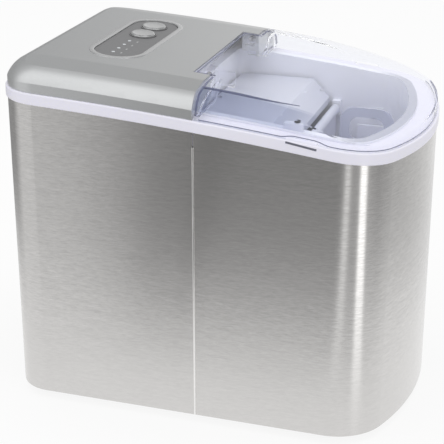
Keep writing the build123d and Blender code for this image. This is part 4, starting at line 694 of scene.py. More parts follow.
@dataclass(frozen=True)
class FrontShadedPlastic(MouldedPlastic):
    """Moulded plastic with painted shade: its rim is darker where it faces up at the front."""

    # Painted shade: darker colour of the rim's front top, where little light reaches.
    crown: Colour = (0.46, 0.47, 0.55)
    shade_facing: Span = (0.6, 0.95)
    shade_front_y: Span = (-0.10, -0.135)

    def tinted(self, bench: Bench, mixed: Socket) -> Socket:
        """Colour of the walls, blended into the rim's painted shade.

        Args:
            bench: takes the nodes.
            mixed: value that the colour varies by.

        Returns:
            The colour.
        """
        facing = bench.spread(bench.facing_up(), self.shade_facing)
        front = bench.spread(bench.part_of(bench.place(), "Y"), self.shade_front_y, soft=True)
        walls = super().tinted(bench, mixed)
        rim = self.clouded(bench, mixed, self.crown)
        return bench.mix(bench.math("MULTIPLY", facing, front), walls, rim)


@dataclass(frozen=True)
class BareMetal(Finish):
    """Plain or plated metal, with drawing or rolling marks."""

    roughness: float = 0.3
    marks: Triple = (180.0, 180.0, 180.0)
    stain: Colour = (0.3, 0.3, 0.3)
    stain_share: float = 0.25
    marks_detail: Span = (4.0, 0.6)
    marks_band: Span = (0.3, 0.7)
    marks_share: float = 0.3
    gloss_swing: Span = (-0.07, 0.09)
    relief: Span = (0.08, 0.0003)
    patch: float = 38.0
    patch_detail: Triple = (3.0, 0.6, 0.4)
    band: Span = (0.45, 0.95)
    plain_at: float = 0.45
    bright: float = 1.08

    def paint(self, bench: Bench) -> None:
        """Marks in gloss and relief, with stained patches.

        Args:
            bench: takes the nodes.
        """
        marks = bench.noise(self.marks, *self.marks_detail)
        patch = bench.noise(thrice(self.patch), *self.patch_detail)
        mixed = bench.spread(bench.sum_of(patch, marks, self.marks_share), self.band)
        stained = tuple(a + (b - a) * self.stain_share for a, b in zip(self.colour, self.stain))
        clean = [(self.plain_at, self.colour), (1.0, tint(self.colour, self.bright))]
        gloss = about(self.roughness, self.gloss_swing)
        bench.surface(
            {
                "Base Color": bench.ramp(mixed, [(0.0, stained), *clean]),
                "Roughness": bench.spread(marks, self.marks_band, gloss),
                "Normal": bench.bump(marks, self.relief),
            },
            Metallic=1.0,
        )


@dataclass(frozen=True)
class CircuitBoard(Finish):
    """Green board with copper tracks under the lacquer."""

    track: float = 260.0
    track_gap: float = 0.03
    shades: Triple = (1.0, 0.7, 1.8)
    speck: float = 700.0
    speck_band: Span = (0.3, 0.7)
    gloss: Span = (0.3, 0.5)
    relief: Span = (0.2, 0.0002)
    coat: float = 0.3

    def paint(self, bench: Bench) -> None:
        """Tracks as a brick pattern under a gloss coat.

        Args:
            bench: takes the nodes.
        """
        tracks = bench.add("ShaderNodeTexBrick")
        tracks.inputs["Scale"].default_value = 1.0
        for name, factor in zip(("Color1", "Color2", "Mortar"), self.shades):
            tracks.inputs[name].default_value = (*tint(self.colour, factor), 1.0)
        tracks.inputs["Mortar Size"].default_value = self.track_gap
        bench.join(bench.coords(thrice(self.track)), tracks.inputs["Vector"])
        speck = bench.noise(thrice(self.speck))
        bench.surface(
            {
                "Base Color": tracks.outputs["Color"],
                "Roughness": bench.spread(speck, self.speck_band, self.gloss),
                "Normal": bench.bump(tracks.outputs["Fac"], self.relief),
            },
            Coat_Weight=self.coat,
        )


@dataclass(frozen=True)
class CellFoam(Finish):
    """Closed-cell foam with small beads."""

    bead: float = 330.0
    depths: tuple[Span, ...] = ((0.0, 1.04), (0.8, 1.0), (1.0, 0.8))
    gloss: Span = (0.7, 0.9)
    relief: Span = (0.4, 0.0006)

    def paint(self, bench: Bench) -> None:
        """Beads in colour and relief.

        Args:
            bench: takes the nodes.
        """
        beads = bench.cells(thrice(self.bead))
        bench.surface(
            {
                "Base Color": bench.shades(beads, self.colour, self.depths),
                "Roughness": bench.spread(beads, UNIT, self.gloss),
                "Normal": bench.bump(beads, self.relief),
            },
        )


INNER_WHITE: Colour = (0.87, 0.88, 0.96)
FINISHES: dict[Look, Finish] = {
    Look.CASING: BrushedSteel(Slot.CASING, (0.62, 0.61, 0.60)),
    # Painted highlight: paler steel than the sheets, for the light that the seam's edges catch.
    Look.SEAM: BareMetal(
        Slot.CASING, (0.80, 0.79, 0.78), 0.24, (900.0, 900.0, 40.0), (0.6, 0.6, 0.6), 0.1
    ),
    Look.SILVER: MetallicPaint(Slot.PAINT, (0.59, 0.60, 0.605)),
    Look.LID: FlankShadedPlastic(
        Slot.LID, (0.975, 0.98, 0.995), (0.955, 0.96, 0.99), 0.02, 1.035, 0.96, 0.12
    ),
    # Painted shade: the dark lines that refraction draws at the lid's thick edges.
    Look.LID_EDGE: MouldedPlastic(
        Slot.LID, (0.13, 0.14, 0.22), 0.2, 800.0, 0.02, 0.03, edge=0.0002
    ),
    Look.RING: MouldedPlastic(Slot.WHITE, (0.80, 0.79, 0.88), 0.34, 1300.0, 0.04, 0.02, 0.06),
    Look.INNER: MouldedPlastic(Slot.WHITE, INNER_WHITE, 0.36, 1300.0, 0.04, 0.03, 0.06),
    Look.TUB: FrontShadedPlastic(Slot.WHITE, INNER_WHITE, 0.36, 1300.0, 0.04, 0.03, 0.06),
    # Painted shade: a darker copy of the inner white, for the hood and the shovel in the shade
    # inside the tub.
    Look.HOOD: MouldedPlastic(Slot.WHITE, (0.62, 0.635, 0.72), 0.36, 1300.0, 0.04, 0.03, 0.06),
    Look.SCOOP: ClearPlastic(
        Slot.WHITE, (0.80, 0.81, 0.89), (0.66, 0.68, 0.79), 0.06, 1.2, 0.5, 0.4
    ),
    Look.PANEL: MouldedPlastic(Slot.PANEL, (0.17, 0.17, 0.174), 0.42, 2200.0, 0.05, 0.06),
    Look.BUTTON: MetallicPaint(Slot.BUTTON, (0.61, 0.615, 0.62), 0.75, 0.22, 0.4, 0.0003),
    Look.LENS: MouldedPlastic(
        Slot.LENS, (0.62, 0.65, 0.67), 0.15, 800.0, 0.02, 0.03, edge=0.0002
    ),
    Look.MARK: MouldedPlastic(Slot.LENS, (0.42, 0.43, 0.43), 0.4, 800.0, 0.02, edge=0.0001),
    Look.BOARD: CircuitBoard(Slot.BOARD, (0.03, 0.16, 0.07)),
    Look.RUBBER: MouldedPlastic(Slot.RUBBER, (0.025, 0.025, 0.026), 0.72, 900.0, 0.14, 0.15),
    # Painted shadow: a dark rubber strip in each finger slot, standing in for the slot's shade.
    Look.BUMPER: MouldedPlastic(
        Slot.RUBBER, (0.13, 0.135, 0.17), 0.6, 900.0, 0.1, 0.08, edge=0.0003
    ),
    Look.ZINC: BareMetal(Slot.ZINC, (0.52, 0.53, 0.53), 0.42, (60.0, 60.0, 60.0)),
    Look.SCREW: BareMetal(Slot.SCREW, (0.58, 0.58, 0.60), 0.28, (900.0, 900.0, 900.0)),
    Look.FOAM: CellFoam(Slot.FOAM, (0.80, 0.80, 0.77)),
    Look.ENAMEL: MouldedPlastic(Slot.ENAMEL, (0.018, 0.018, 0.02), 0.30, 260.0, 0.10, 0.12),
    Look.COPPER: BareMetal(
        Slot.COPPER, (0.72, 0.40, 0.26), 0.26, (400.0, 400.0, 400.0), (0.25, 0.10, 0.05), 0.4
    ),
    Look.FIN: BareMetal(Slot.FIN, (0.74, 0.75, 0.76), 0.34, (40.0, 40.0, 600.0)),
    Look.BLACK: MouldedPlastic(Slot.BLACK, (0.03, 0.03, 0.032), 0.46, 1600.0, 0.10, 0.12),
    Look.PLATED: BareMetal(Slot.PLATED, (0.70, 0.69, 0.65), 0.22, (300.0, 300.0, 60.0)),
    Look.SILICONE: MouldedPlastic(
        Slot.SILICONE, (0.70, 0.71, 0.69), 0.38, 700.0, 0.04, 0.05, 0.15
    ),
}


class Paintbox:
    """Makes each finish once and hands it out."""

    def __init__(self) -> None:
        """Start with no material made."""
        self.made: dict[Look, bpy.types.Material] = {}

    def dress(self, piece: Piece, look: Look) -> None:
        """Give a piece its finish as its only material, made when first asked for.

        Args:
            piece: the object.
            look: its finish.
        """
        if look not in self.made:
            self.made[look] = FINISHES[look].material(look.value)
        piece.data.materials.clear()
        piece.data.materials.append(self.made[look])


@dataclass(frozen=True)
class Crown:
    """Shape of a face: width of its border, rise of its middle, and width of the bevels."""

    border: float
    rise: float
    soft: float


class Shop:
    """Modelling steps that every sub-assembly uses."""

    @staticmethod
    def clear() -> None:
        """Leave edit mode and deselect everything."""
        if bpy.context.mode != "OBJECT":
            bpy.ops.object.mode_set(mode="OBJECT")
        bpy.ops.object.select_all(action="DESELECT")

    @staticmethod
    def hold(piece: Piece) -> None:
        """Select one piece alone and make it active.

        Args:
            piece: the object.
        """
        Shop.clear()
        piece.select_set(True)
        bpy.context.view_layer.objects.active = piece

    @staticmethod
    def adopt(name: str) -> Piece:
        """Name the active object and put its place in its mesh.

        Args:
            name: the new piece's name.

        Returns:
            The piece.
        """
        piece = bpy.context.active_object
        piece.name = name
        piece.data.name = name
        bpy.ops.object.transform_apply(location=True, rotation=True, scale=True)
        return piece

    @staticmethod
    def block(name: str, size: Triple, at: Triple = HERE) -> Piece:
        """Add a box to shape further.

        Args:
            name: the new piece's name.
            size: its lengths.
            at: its middle.

        Returns:
            The piece.
        """
        Shop.clear()
        bpy.ops.mesh.primitive_cube_add(size=1.0, location=at, scale=size)
        return Shop.adopt(name)

    @staticmethod
    def disc(name: str, radius: float, height: float, sides: int, at: Triple = HERE) -> Piece:
        """Add an upright cylinder to shape further.

        Args:
            name: the new piece's name.
            radius: of the cylinder.
            height: of the cylinder.
            sides: faces round it.
            at: its middle.

        Returns:
            The piece.
        """
        Shop.clear()
        bpy.ops.mesh.primitive_cylinder_add(
            vertices=sides, radius=radius, depth=height, location=at
        )
        return Shop.adopt(name)

    @staticmethod
    def unpick(piece: Piece, kind: str) -> None:
        """Deselect a piece's whole mesh, ready for picking by a test.

        Args:
            piece: the object.
            kind: what will be picked, VERT or FACE.
        """
        Shop.hold(piece)
        bpy.ops.object.mode_set(mode="EDIT")
        bpy.ops.mesh.select_mode(type=kind)
        bpy.ops.mesh.select_all(action="DESELECT")
        bpy.ops.object.mode_set(mode="OBJECT")

    @staticmethod
    def pick(piece: Piece, way: Triple) -> None:
        """Go to edit mode with the faces selected that face one way.

        Args:
            piece: the object.
            way: unit vector.
        """
        Shop.unpick(piece, "FACE")
        for face in piece.data.polygons:
            face.select = face.normal.dot(Vector(way)) > FACING
        bpy.ops.object.mode_set(mode="EDIT")

    @staticmethod
    def pick_half(piece: Piece, side: float) -> None:
        """Go to edit mode with the points selected on one side of the middle in X.

        Args:
            piece: the object.
            side: -1 or 1.
        """
        Shop.unpick(piece, "VERT")
        for point in piece.data.vertices:
            point.select = point.co.x * side > MERGE
        bpy.ops.object.mode_set(mode="EDIT")

    @staticmethod
    def shift(step: Triple) -> None:
        """Move what is selected in edit mode."""
        bpy.ops.transform.translate(value=step)

    @staticmethod
    def raise_faces(step: Triple) -> None:
        """Extrude the selected faces by a step."""
        bpy.ops.mesh.extrude_region_move(TRANSFORM_OT_translate={"value": step})

    @staticmethod
    def crown(piece: Piece, way: Triple, shape: Crown, step: bool = False) -> Piece:
        """Give the faces that face one way a border and a raised or sunk middle, and soften all.

        Args:
            piece: the object.
            way: unit vector.
            shape: of the border, the middle and the bevels.
            step: whether the middle stands on walls of its own.

        Returns:
            The piece.
        """
        Shop.pick(piece, way)
        bpy.ops.mesh.inset(thickness=shape.border, use_even_offset=True)
        rise = tuple(Vector(way) * shape.rise)
        if step:
            Shop.raise_faces(rise)
        elif shape.rise:
            Shop.shift(rise)
        Shop.soften(piece, shape.soft)
        return piece

    @staticmethod
    def modify(piece: Piece, kind: str, **settings: object) -> None:
        """Add a modifier and apply it.

        Args:
            piece: the object.
            kind: Blender's name of the modifier type.
            settings: its properties by name.
        """
        Shop.hold(piece)
        modifier = piece.modifiers.new(kind.title(), kind)
        for name, value in settings.items():
            setattr(modifier, name, value)
        bpy.ops.object.modifier_apply(modifier=modifier.name)

    @staticmethod
    def soften(piece: Piece, width: float) -> None:
        """Bevel the sharp edges, point the faces outwards and smooth the shading.

        Args:
            piece: the object.
            width: of the bevels.
        """
        Shop.modify(piece, "BEVEL", width=width, segments=BEVEL_STEPS, limit_method="ANGLE")
        bpy.ops.object.mode_set(mode="EDIT")
        bpy.ops.mesh.select_all(action="SELECT")
        bpy.ops.mesh.remove_doubles(threshold=MERGE)
        bpy.ops.mesh.normals_make_consistent(inside=False)
        bpy.ops.object.mode_set(mode="OBJECT")
        bpy.ops.object.shade_smooth_by_angle(angle=SMOOTH_ANGLE)

    @staticmethod
    def settle(piece: Piece, at: Triple, turn: Triple = HERE) -> Piece:
        """Turn a piece modelled about the origin, move it to its place and apply both.

        Args:
            piece: the object.
            at: its place.
            turn: its turn about each axis, in radians.

        Returns:
            The piece.
        """
        Shop.hold(piece)
        piece.rotation_euler = turn
        piece.location = at
        bpy.ops.object.transform_apply(location=True, rotation=True, scale=True)
        return piece

    @staticmethod
    def twin(piece: Piece, name: str) -> Piece:
        """Copy a piece, with a mesh of its own.

        Args:
            piece: the object.
            name: the copy's name.

        Returns:
            The copy.
        """
        Shop.hold(piece)
        bpy.ops.object.duplicate()
        made = bpy.context.active_object
        made.name = name
        made.data.name = name
        return made

    @staticmethod
    def wire(name: str, path: Sequence[Vector], radius: float, tip: float = 1.0) -> Piece:
        """Round bar along a path.

        Args:
            name: the new piece's name.
            path: places that its middle is drawn to.
            radius: of the bar.
            tip: share of the radius that the bar thins to over its last half.

        Returns:
            The piece as a mesh.
        """
        Shop.clear()
        bpy.ops.curve.primitive_nurbs_path_add()
        route = bpy.context.active_object.data
        spline = route.splines[0]
        spline.points.add(max(0, len(path) - len(spline.points)))
        for step, (point, place) in enumerate(zip(spline.points, path)):
            point.co = (*place, 1.0)
            point.radius = 1.0 - (1.0 - tip) * max(0.0, 2.0 * step / (len(path) - 1) - 1.0)
        spline.order_u = PATH_ORDER
        spline.use_endpoint_u = True
        route.bevel_depth = radius
        route.bevel_resolution = BEVEL_STEPS
        route.use_fill_caps = True
        bpy.ops.object.convert(target="MESH")
        piece = Shop.adopt(name)
        bpy.ops.object.shade_smooth_by_angle(angle=SMOOTH_ANGLE)
        return piece

    @staticmethod
    def oval(name: str, straight: float, radius: float) -> Piece:
        """Flat face with two straight sides and two round ends, about the origin.

        Args:
            name: the new piece's name.
            straight: half the length of the straight sides.
            radius: of the round ends.

        Returns:
            The piece, out of edit mode.
        """
        Shop.clear()
        bpy.ops.mesh.primitive_circle_add(vertices=OVAL_POINTS, radius=radius, fill_type="NGON")
        piece = Shop.adopt(name)
        for _, side in SIDES:
            Shop.pick_half(piece, side)
            Shop.shift((side * straight, 0.0, 0.0))
        Shop.clear()
        return piece

    @staticmethod
    def hoop(
        name: str, straight: float, outer: float, wall: float, height: float, soft: float
    ) -> Piece:
        """Raised rim round an oval or a circle, standing on the plane of the origin.

        Args:
            name: the new piece's name.
            straight: half the length of the straight sides, 0 for a circle.
            outer: radius of the outside of the round ends.
            wall: width of the rim.
            height: how high it stands.
            soft: width of its bevels.

        Returns:
            The piece.
        """
        piece = Shop.oval(name, straight, outer)
        Shop.pick(piece, UP)
        bpy.ops.mesh.inset(thickness=wall, use_even_offset=True)
        bpy.ops.mesh.delete(type="FACE")
        bpy.ops.mesh.select_all(action="SELECT")
        Shop.raise_faces((0.0, 0.0, height))
        Shop.soften(piece, soft)
        return piece


@dataclass
class SubAssembly:
    """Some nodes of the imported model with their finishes, and the pieces added to them."""

    box: Paintbox
    title: str = "sub-assembly"
    nodes: dict[str, Look] = field(default_factory=dict)

    def dress(self) -> None:
        """Give each node its finish."""
        for name, look in self.nodes.items():
            self.box.dress(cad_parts[name], look)
            LOG.info("%s: dressed %s in %s", self.title, name, look.value)

    def keep(self, piece: Piece, body: Body, look: Look) -> None:
        """Dress a new piece and let it ride on a body.

        Args:
            piece: the finished piece.
            body: what it moves with.
            look: its finish.
        """
        self.box.dress(piece, look)
        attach(piece, body.value)
        LOG.info("%s: built %s", self.title, piece.name)

    def build(self) -> None:
        """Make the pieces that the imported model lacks."""

    def make(self) -> None:
        """Dress the nodes and build the new pieces."""
        self.dress()
        self.build()


@dataclass
class Casing(SubAssembly):
    """Brushed steel sheets on the base pan, with grilles, feet, drain and gland."""

    title: str = "casing"
    half_width: float = 0.1225
    half_depth: float = 0.178
    bottom: float = 0.008
    bead_width: float = 0.0017
    bead_proud: float = 0.0004
    bead_sunk: float = 0.0006
    bead_drop: float = 0.013
    bead_crown: Crown = Crown(0.000476, 0.00016, 0.0002)
    screw_radius: float = 0.0034
    screw_height: float = 0.0016
    screw_sides: int = 32
    screw_crown: Crown = Crown(0.00119, 0.0004, 0.00032)
    cross_size: Triple = (0.00374, 0.000816, 0.00192)
    screw_x: float = 0.078
    screw_heights: Span = (0.024, 0.262)
    nodes: dict[str, Look] = field(default_factory=lambda: {
        "base_pan": Look.ZINC, "rubber_feet": Look.RUBBER, "foot_screws": Look.SCREW,
        "base_screws": Look.SCREW, "front_casing": Look.CASING, "rear_casing": Look.CASING,
        "rear_grille": Look.BLACK, "side_grille": Look.BLACK, "cord_gland": Look.BLACK,
        "drain_cap": Look.BLACK, "drain_pipe": Look.INNER,
    })

    def build(self) -> None:
        """Seam beads and the screws of the back."""
        for name, side in SIDES:
            self.keep(self.seam_bead(f"seam_bead_{name}", side), Body.HOUSING, Look.SEAM)
        self.back_screws()

    def seam_bead(self, name: str, side: float) -> Piece:
        """Rounded bead where the two sheets meet, in paler steel that paints in the highlight on
        its edges.

        Args:
            name: the piece's name.
            side: -1 on the left, 1 on the right.

        Returns:
            The piece.
        """
        top = ARCH.level(0.0) - self.bead_drop
        middle = self.half_width + (self.bead_proud - self.bead_sunk) / 2
        size = (self.bead_proud + self.bead_sunk, self.bead_width, top - self.bottom)
        bead = Shop.block(name, size, (side * middle, 0.0, (self.bottom + top) / 2))
        return Shop.crown(bead, (side, 0.0, 0.0), self.bead_crown)

    def screw(self, name: str) -> Piece:
        """Pan-head screw about the origin, head up, with a cross recess.

        Args:
            name: the piece's name.

        Returns:
            The piece.
        """
        head = Shop.disc(name, self.screw_radius, self.screw_height, self.screw_sides)
        Shop.crown(head, UP, self.screw_crown)
        for turn in (0.0, math.pi / 2):
            cutter = Shop.block("cross_cutter", self.cross_size, (0.0, 0.0, self.screw_height))
            Shop.settle(cutter, HERE, (0.0, 0.0, turn))
            Shop.modify(head, "BOOLEAN", object=cutter, operation="DIFFERENCE", solver="EXACT")
            bpy.data.objects.remove(cutter)
        return head

    def back_screws(self) -> None:
        """Put four screws in the flat of the back."""
        spots = [(side * self.screw_x, up) for _, side in SIDES for up in self.screw_heights]
        heads = [self.screw("back_screw_1")]
        for count in range(2, len(spots) + 1):
            heads.append(Shop.twin(heads[0], f"back_screw_{count}"))
        back = self.half_depth + self.screw_height / 2
        for head, (across, up) in zip(heads, spots):
            Shop.settle(head, (across, back, up), (-math.pi / 2, 0.0, 0.0))
            self.keep(head, Body.HOUSING, Look.SCREW)


@dataclass
class TopCover(SubAssembly):
    """White ring, silver rear cover and the partition under it."""

    title: str = "top"
    nodes: dict[str, Look] = field(default_factory=lambda: {
        "top_frame": Look.RING, "rear_cover": Look.SILVER, "partition": Look.INNER,
    })


@dataclass
class ControlPanel(SubAssembly):
    """Sunk panel with two buttons and four indicators."""

    title: str = "panel"
    centre_y: float = 0.094
    lift: float = 0.035
    straight: float = 0.044
    end_radius: float = 0.022
    rim: float = 0.0046
    rim_height: float = 0.0009
    rim_soft: float = 0.000405
    fascia_drop: float = 0.0006
    button_radius: float = 0.011
    button_proud: float = 0.0009
    button_x: Span = (0.043, 0.014)
    collar: float = 0.0011
    collar_gap: float = 0.0004
    collar_height: float = 0.00088
    collar_soft: float = 0.000275
    cap_radius: float = 0.01023
    cap_height: float = 0.0009
    cap_sides: int = 64
    cap_dish: tuple[Span, ...] = (
        (0.10, 0.0), (0.10, 0.20), (0.16, 0.16), (0.20, 0.12), (0.22, 0.06),
    )
    cap_soft: float = 0.00018
    cap_lift: float = 0.00027
    lens_x: tuple[float, ...] = (-0.051, -0.038, -0.025, -0.012)
    mark_y: float = -0.0045
    mark_size: Triple = (0.0034, 0.0011, 0.0002)
    mark_crown: Crown = Crown(0.00022, 0.0, 0.00006)
    nodes: dict[str, Look] = field(default_factory=lambda: {
        "control_fascia": Look.PANEL, "indicator_lenses": Look.LENS, "power_button": Look.BUTTON,
        "select_button": Look.BUTTON, "control_board": Look.BOARD,
    })

    def build(self) -> None:
        """Rim, button collars and caps, and a mark below each indicator."""
        outer = self.end_radius + self.rim
        rim = Shop.hoop("panel_rim", self.straight, outer, self.rim, self.rim_height, self.rim_soft)
        self.on_panel(rim, 0.0, 0.0, -self.rim_height / 2)
        self.keep(rim, Body.HOUSING, Look.BUTTON)
        outer = self.button_radius + self.collar_gap + self.collar
        names = (("power", Body.POWER_BUTTON), ("select", Body.SELECT_BUTTON))
        for (name, body), across in zip(names, self.button_x):
            collar = Shop.hoop(
                f"{name}_collar", 0.0, outer, self.collar, self.collar_height, self.collar_soft
            )
            self.on_panel(collar, across, 0.0, -self.fascia_drop)
            self.keep(collar, Body.HOUSING, Look.PANEL)
            self.keep(self.cap(f"{name}_cap", across), body, Look.BUTTON)
        for count, across in enumerate(self.lens_x, 1):
            self.keep(self.mark(f"indicator_mark_{count}", across), Body.HOUSING, Look.MARK)

    def on_panel(self, piece: Piece, across: float, along: float, up: float) -> Piece:
        """Lay a piece modelled about the origin on the panel's plane.

        Args:
            piece: the piece.
            across: place along X.
            along: place along the panel's width.
            up: height over the cover's top.

        Returns:
            The piece in its place.
        """
        lean = ARCH.lean(self.centre_y, self.lift)
        sine, cosine = math.sin(lean), math.cos(lean)
        back = self.centre_y + along * cosine - up * sine
        height = ARCH.level(self.centre_y, self.lift) + along * sine + up * cosine
        return Shop.settle(piece, (across, back, height), (lean, 0.0, 0.0))

    def cap(self, name: str, across: float) -> Piece:
        """Dished silver cap on a button.

        Args:
            name: the piece's name.
            across: the button's place along X.

        Returns:
            The piece in its place.
        """
        cap = Shop.disc(name, self.cap_radius, self.cap_height, self.cap_sides)
        Shop.pick(cap, UP)
        for step, sink in self.cap_dish:
            bpy.ops.mesh.inset(thickness=self.cap_radius * step)
            Shop.shift((0.0, 0.0, -self.cap_height * sink))
        bpy.ops.mesh.merge(type="CENTER")
        Shop.soften(cap, self.cap_soft)
        return self.on_panel(cap, across, 0.0, self.button_proud + self.cap_lift)

    def mark(self, name: str, across: float) -> Piece:
        """Small raised bar below an indicator."""
        bar = Shop.crown(Shop.block(name, self.mark_size), UP, self.mark_crown)
        return self.on_panel(bar, across, self.mark_y, -self.fascia_drop)


@dataclass
class Lid(SubAssembly):
    """Clear hinged lid, with dark wires under its skin that paint in the shade lines at its moulded
    edges.
    """

    title: str = "lid"
    nodes: dict[str, Look] = field(default_factory=lambda: {
        "lid": Look.LID, "lid_hinge_pins": Look.SCREW,
    })
    sunk: float = 0.0003
    crease_radius: float = 0.0011
    crease_tip: float = 0.3
    crease_x: float = 0.0997
    crease_turn_y: float = -0.040
    crease_turn: float = 3.8
    crease_y: Span = (-0.003, -0.082)
    crease_steps: int = 12
    end_radius: float = 0.0009
    end_y: float = -0.0022
    end_centre: Span = (0.085, 0.268)
    end_turns: Span = (26.0, 104.0)
    end_steps: int = 16
    flap_radius: float = 0.0006
    flap_half: float = 0.0702
    flap_y: Span = (-0.003, 0.0136)
    flap_points_per_corner: int = 3
    foot_radius: float = 0.0004
    foot_lift: float = 0.0113
    foot_centre_y: float = -0.060
    foot_reach: float = 0.118
    foot_turns: Span = (155.5, 318.0)
    foot_steps: int = 52
    foot_rounds: int = 3
    slot_y: float = -0.091
    slot_half: float = 0.015
    slot_rise: float = 0.0024

    def build(self) -> None:
        """Painted shade lines along the crease, ends, flap edge and lower edge of the moulding."""
        crease = [self.on_crease(y) for y in self.steps(self.crease_y, self.crease_steps)]
        self.edge("lid_crease_shade", crease, self.crease_radius, self.crease_tip)
        for name, side in SIDES:
            end = [self.on_end(side, turn) for turn in self.steps(self.end_turns, self.end_steps)]
            self.edge(f"lid_end_shade_{name}", end, self.end_radius)
        half, (near, back) = self.flap_half, self.flap_y
        flap = [
            self.under(x, y, self.flap_radius)
            for x, y in ((-half, near), (-half, back), (half, back), (half, near))
            for _ in range(self.flap_points_per_corner)
        ]
        self.edge("flap_shade", flap, self.flap_radius)
        foot = [self.on_foot(turn) for turn in self.steps(self.foot_turns, self.foot_steps)]
        self.edge("lid_foot_shade", foot, self.foot_radius)

    @staticmethod
    def steps(ends: Span, count: int) -> list[float]:
        """Evenly spaced values from the first end to the last."""
        return [ends[0] + (ends[1] - ends[0]) * step / (count - 1) for step in range(count)]

    def edge(self, name: str, path: Sequence[Vector], radius: float, tip: float = 1.0) -> None:
        """Draw one painted shade line along a path and hang it on the lid."""
        self.keep(Shop.wire(name, path, radius, tip), Body.LID, Look.LID_EDGE)

    @staticmethod
    def touch(start: Vector, way: Vector) -> Vector:
        """Find the lid's skin.

        Args:
            start: a place outside the lid.
            way: unit vector towards it.

        Returns:
            The first point of the lid that is met.
        """
        found, at, _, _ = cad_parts["lid"].ray_cast(start, way)
        if not found:
            raise ValueError(f"the lid isn't met from {tuple(start)}")
        return at

    def under(self, x: float, y: float, radius: float) -> Vector:
        """Place just under the lid's top."""
        down = -Vector(UP)
        return self.touch(Vector((x, y, 1.0)), down) + down * (self.sunk + radius)

    def on_crease(self, y: float) -> Vector:
        """Place under the line where the top starts to roll down on the left."""
        x = self.crease_x - self.crease_turn * max(0.0, self.crease_turn_y - y) ** 2
        return self.under(-x, y, self.crease_radius)

    def on_end(self, side: float, turn: float) -> Vector:
        """Find a place under the skin at the lid's rear end.

        Args:
            side: -1 on the left, 1 on the right.
            turn: angle in degrees from a centre inside the roll.

        Returns:
            The place.
        """
        out = Vector((side * math.cos(math.radians(turn)), 0.0, math.sin(math.radians(turn))))
        centre = Vector((side * self.end_centre[0], self.end_y, self.end_centre[1]))
        return self.touch(centre + out, -out) - out * (self.sunk + self.end_radius)

    def on_foot(self, turn: float) -> Vector:
        """Find a place under the skin just over the lid's lower edge, which rises at the slots.

        Args:
            turn: bearing in degrees from a centre inside the lid.

        Returns:
            The place.
        """
        out = Vector((math.cos(math.radians(turn)), math.sin(math.radians(turn)), 0.0))
        y = self.foot_centre_y + out.y * self.foot_reach
        for _ in range(self.foot_rounds):
            rise = self.slot_rise if abs(y - self.slot_y) < self.slot_half else 0.0
            centre = Vector((0.0, self.foot_centre_y, ARCH.level(y, self.foot_lift + rise)))
            at = self.touch(centre + out, -out)
            y = at.y
        return at - out * (self.sunk + self.foot_radius)


@dataclass
class IceWorks(SubAssembly):
    """Tub, basket, scoop, evaporator, tray and pump."""

    title: str = "ice works"
    nodes: dict[str, Look] = field(default_factory=lambda: {
        "tub": Look.TUB, "foam_jacket": Look.FOAM, "ice_basket": Look.INNER,
        "ice_scoop": Look.SCOOP, "ice_sensors": Look.LENS, "evaporator": Look.PLATED,
        "evaporator_hood": Look.HOOD, "water_tray": Look.INNER, "tray_bushes": Look.INNER,
        "tray_motor": Look.BLACK, "ice_shovel": Look.HOOD, "shovel_axle": Look.SCREW,
        "shovel_brackets": Look.INNER, "water_pump": Look.BLACK, "pump_impeller": Look.INNER,
        "pump_strainer": Look.BLACK, "water_hose": Look.SILICONE,
    })
    clip_at: Triple = (-0.1008, -0.0795, 0.2752)
    clip_size: Triple = (0.0060, 0.0160, 0.0120)
    clip_crown: Crown = Crown(0.0009, 0.00072, 0.00048)
    head_at: Triple = (-0.1008, -0.0825, 0.28248)
    head_radius: float = 0.0026
    head_height: float = 0.0014
    head_sides: int = 24
    head_crown: Crown = Crown(0.00117, -0.0007, 0.00021)
    bumper_at: Triple = (0.1236, -0.0915, 0.2698)
    bumper_size: Triple = (0.0012, 0.0260, 0.0018)
    bumper_crown: Crown = Crown(0.00024, 0.0, 0.00036)
    bumper_slope: float = 0.165
    shield_at: Triple = (0.0100, 0.0270, 0.2635)
    shield_size: Triple = (0.0364, 0.0018, 0.0430)
    shield_crown: Crown = Crown(0.0036, 0.00072, 0.00036)

    def build(self) -> None:
        """Shield over the pipes, clip and screw on the tub's rim, and bumpers that paint in the
        slots' shadow.
        """
        self.keep(self.shield("pipe_shield"), Body.HOUSING, Look.INNER)
        self.keep(self.clip("rim_clip"), Body.HOUSING, Look.INNER)
        self.keep(self.clip_head("rim_clip_screw"), Body.HOUSING, Look.ENAMEL)
        for name, side in SIDES:
            self.keep(self.bumper(f"slot_shadow_bumper_{name}", side), Body.HOUSING, Look.BUMPER)

    def shield(self, name: str) -> Piece:
        """Moulded plate with a raised field that closes the tub's rear notch over the pipes."""
        plate = Shop.block(name, self.shield_size, self.shield_at)
        return Shop.crown(plate, FRONT, self.shield_crown, step=True)

    def clip(self, name: str) -> Piece:
        """Small moulded post with a stepped, rounded top."""
        post = Shop.block(name, self.clip_size, self.clip_at)
        return Shop.crown(post, UP, self.clip_crown, step=True)

    def clip_head(self, name: str) -> Piece:
        """Dark screw head on the post, with a sunk middle."""
        head = Shop.disc(name, self.head_radius, self.head_height, self.head_sides, self.head_at)
        return Shop.crown(head, UP, self.head_crown)

    def bumper(self, name: str, side: float) -> Piece:
        """Dark rubber strip that lies in a finger slot of the ring, and paints in the slot's
        shadow.

        Args:
            name: the piece's name.
            side: -1 on the left, 1 on the right.

        Returns:
            The piece.
        """
        strip = Shop.crown(Shop.block(name, self.bumper_size), UP, self.bumper_crown)
        across, along, up = self.bumper_at
        return Shop.settle(strip, (side * across, along, up), (self.bumper_slope, 0.0, 0.0))


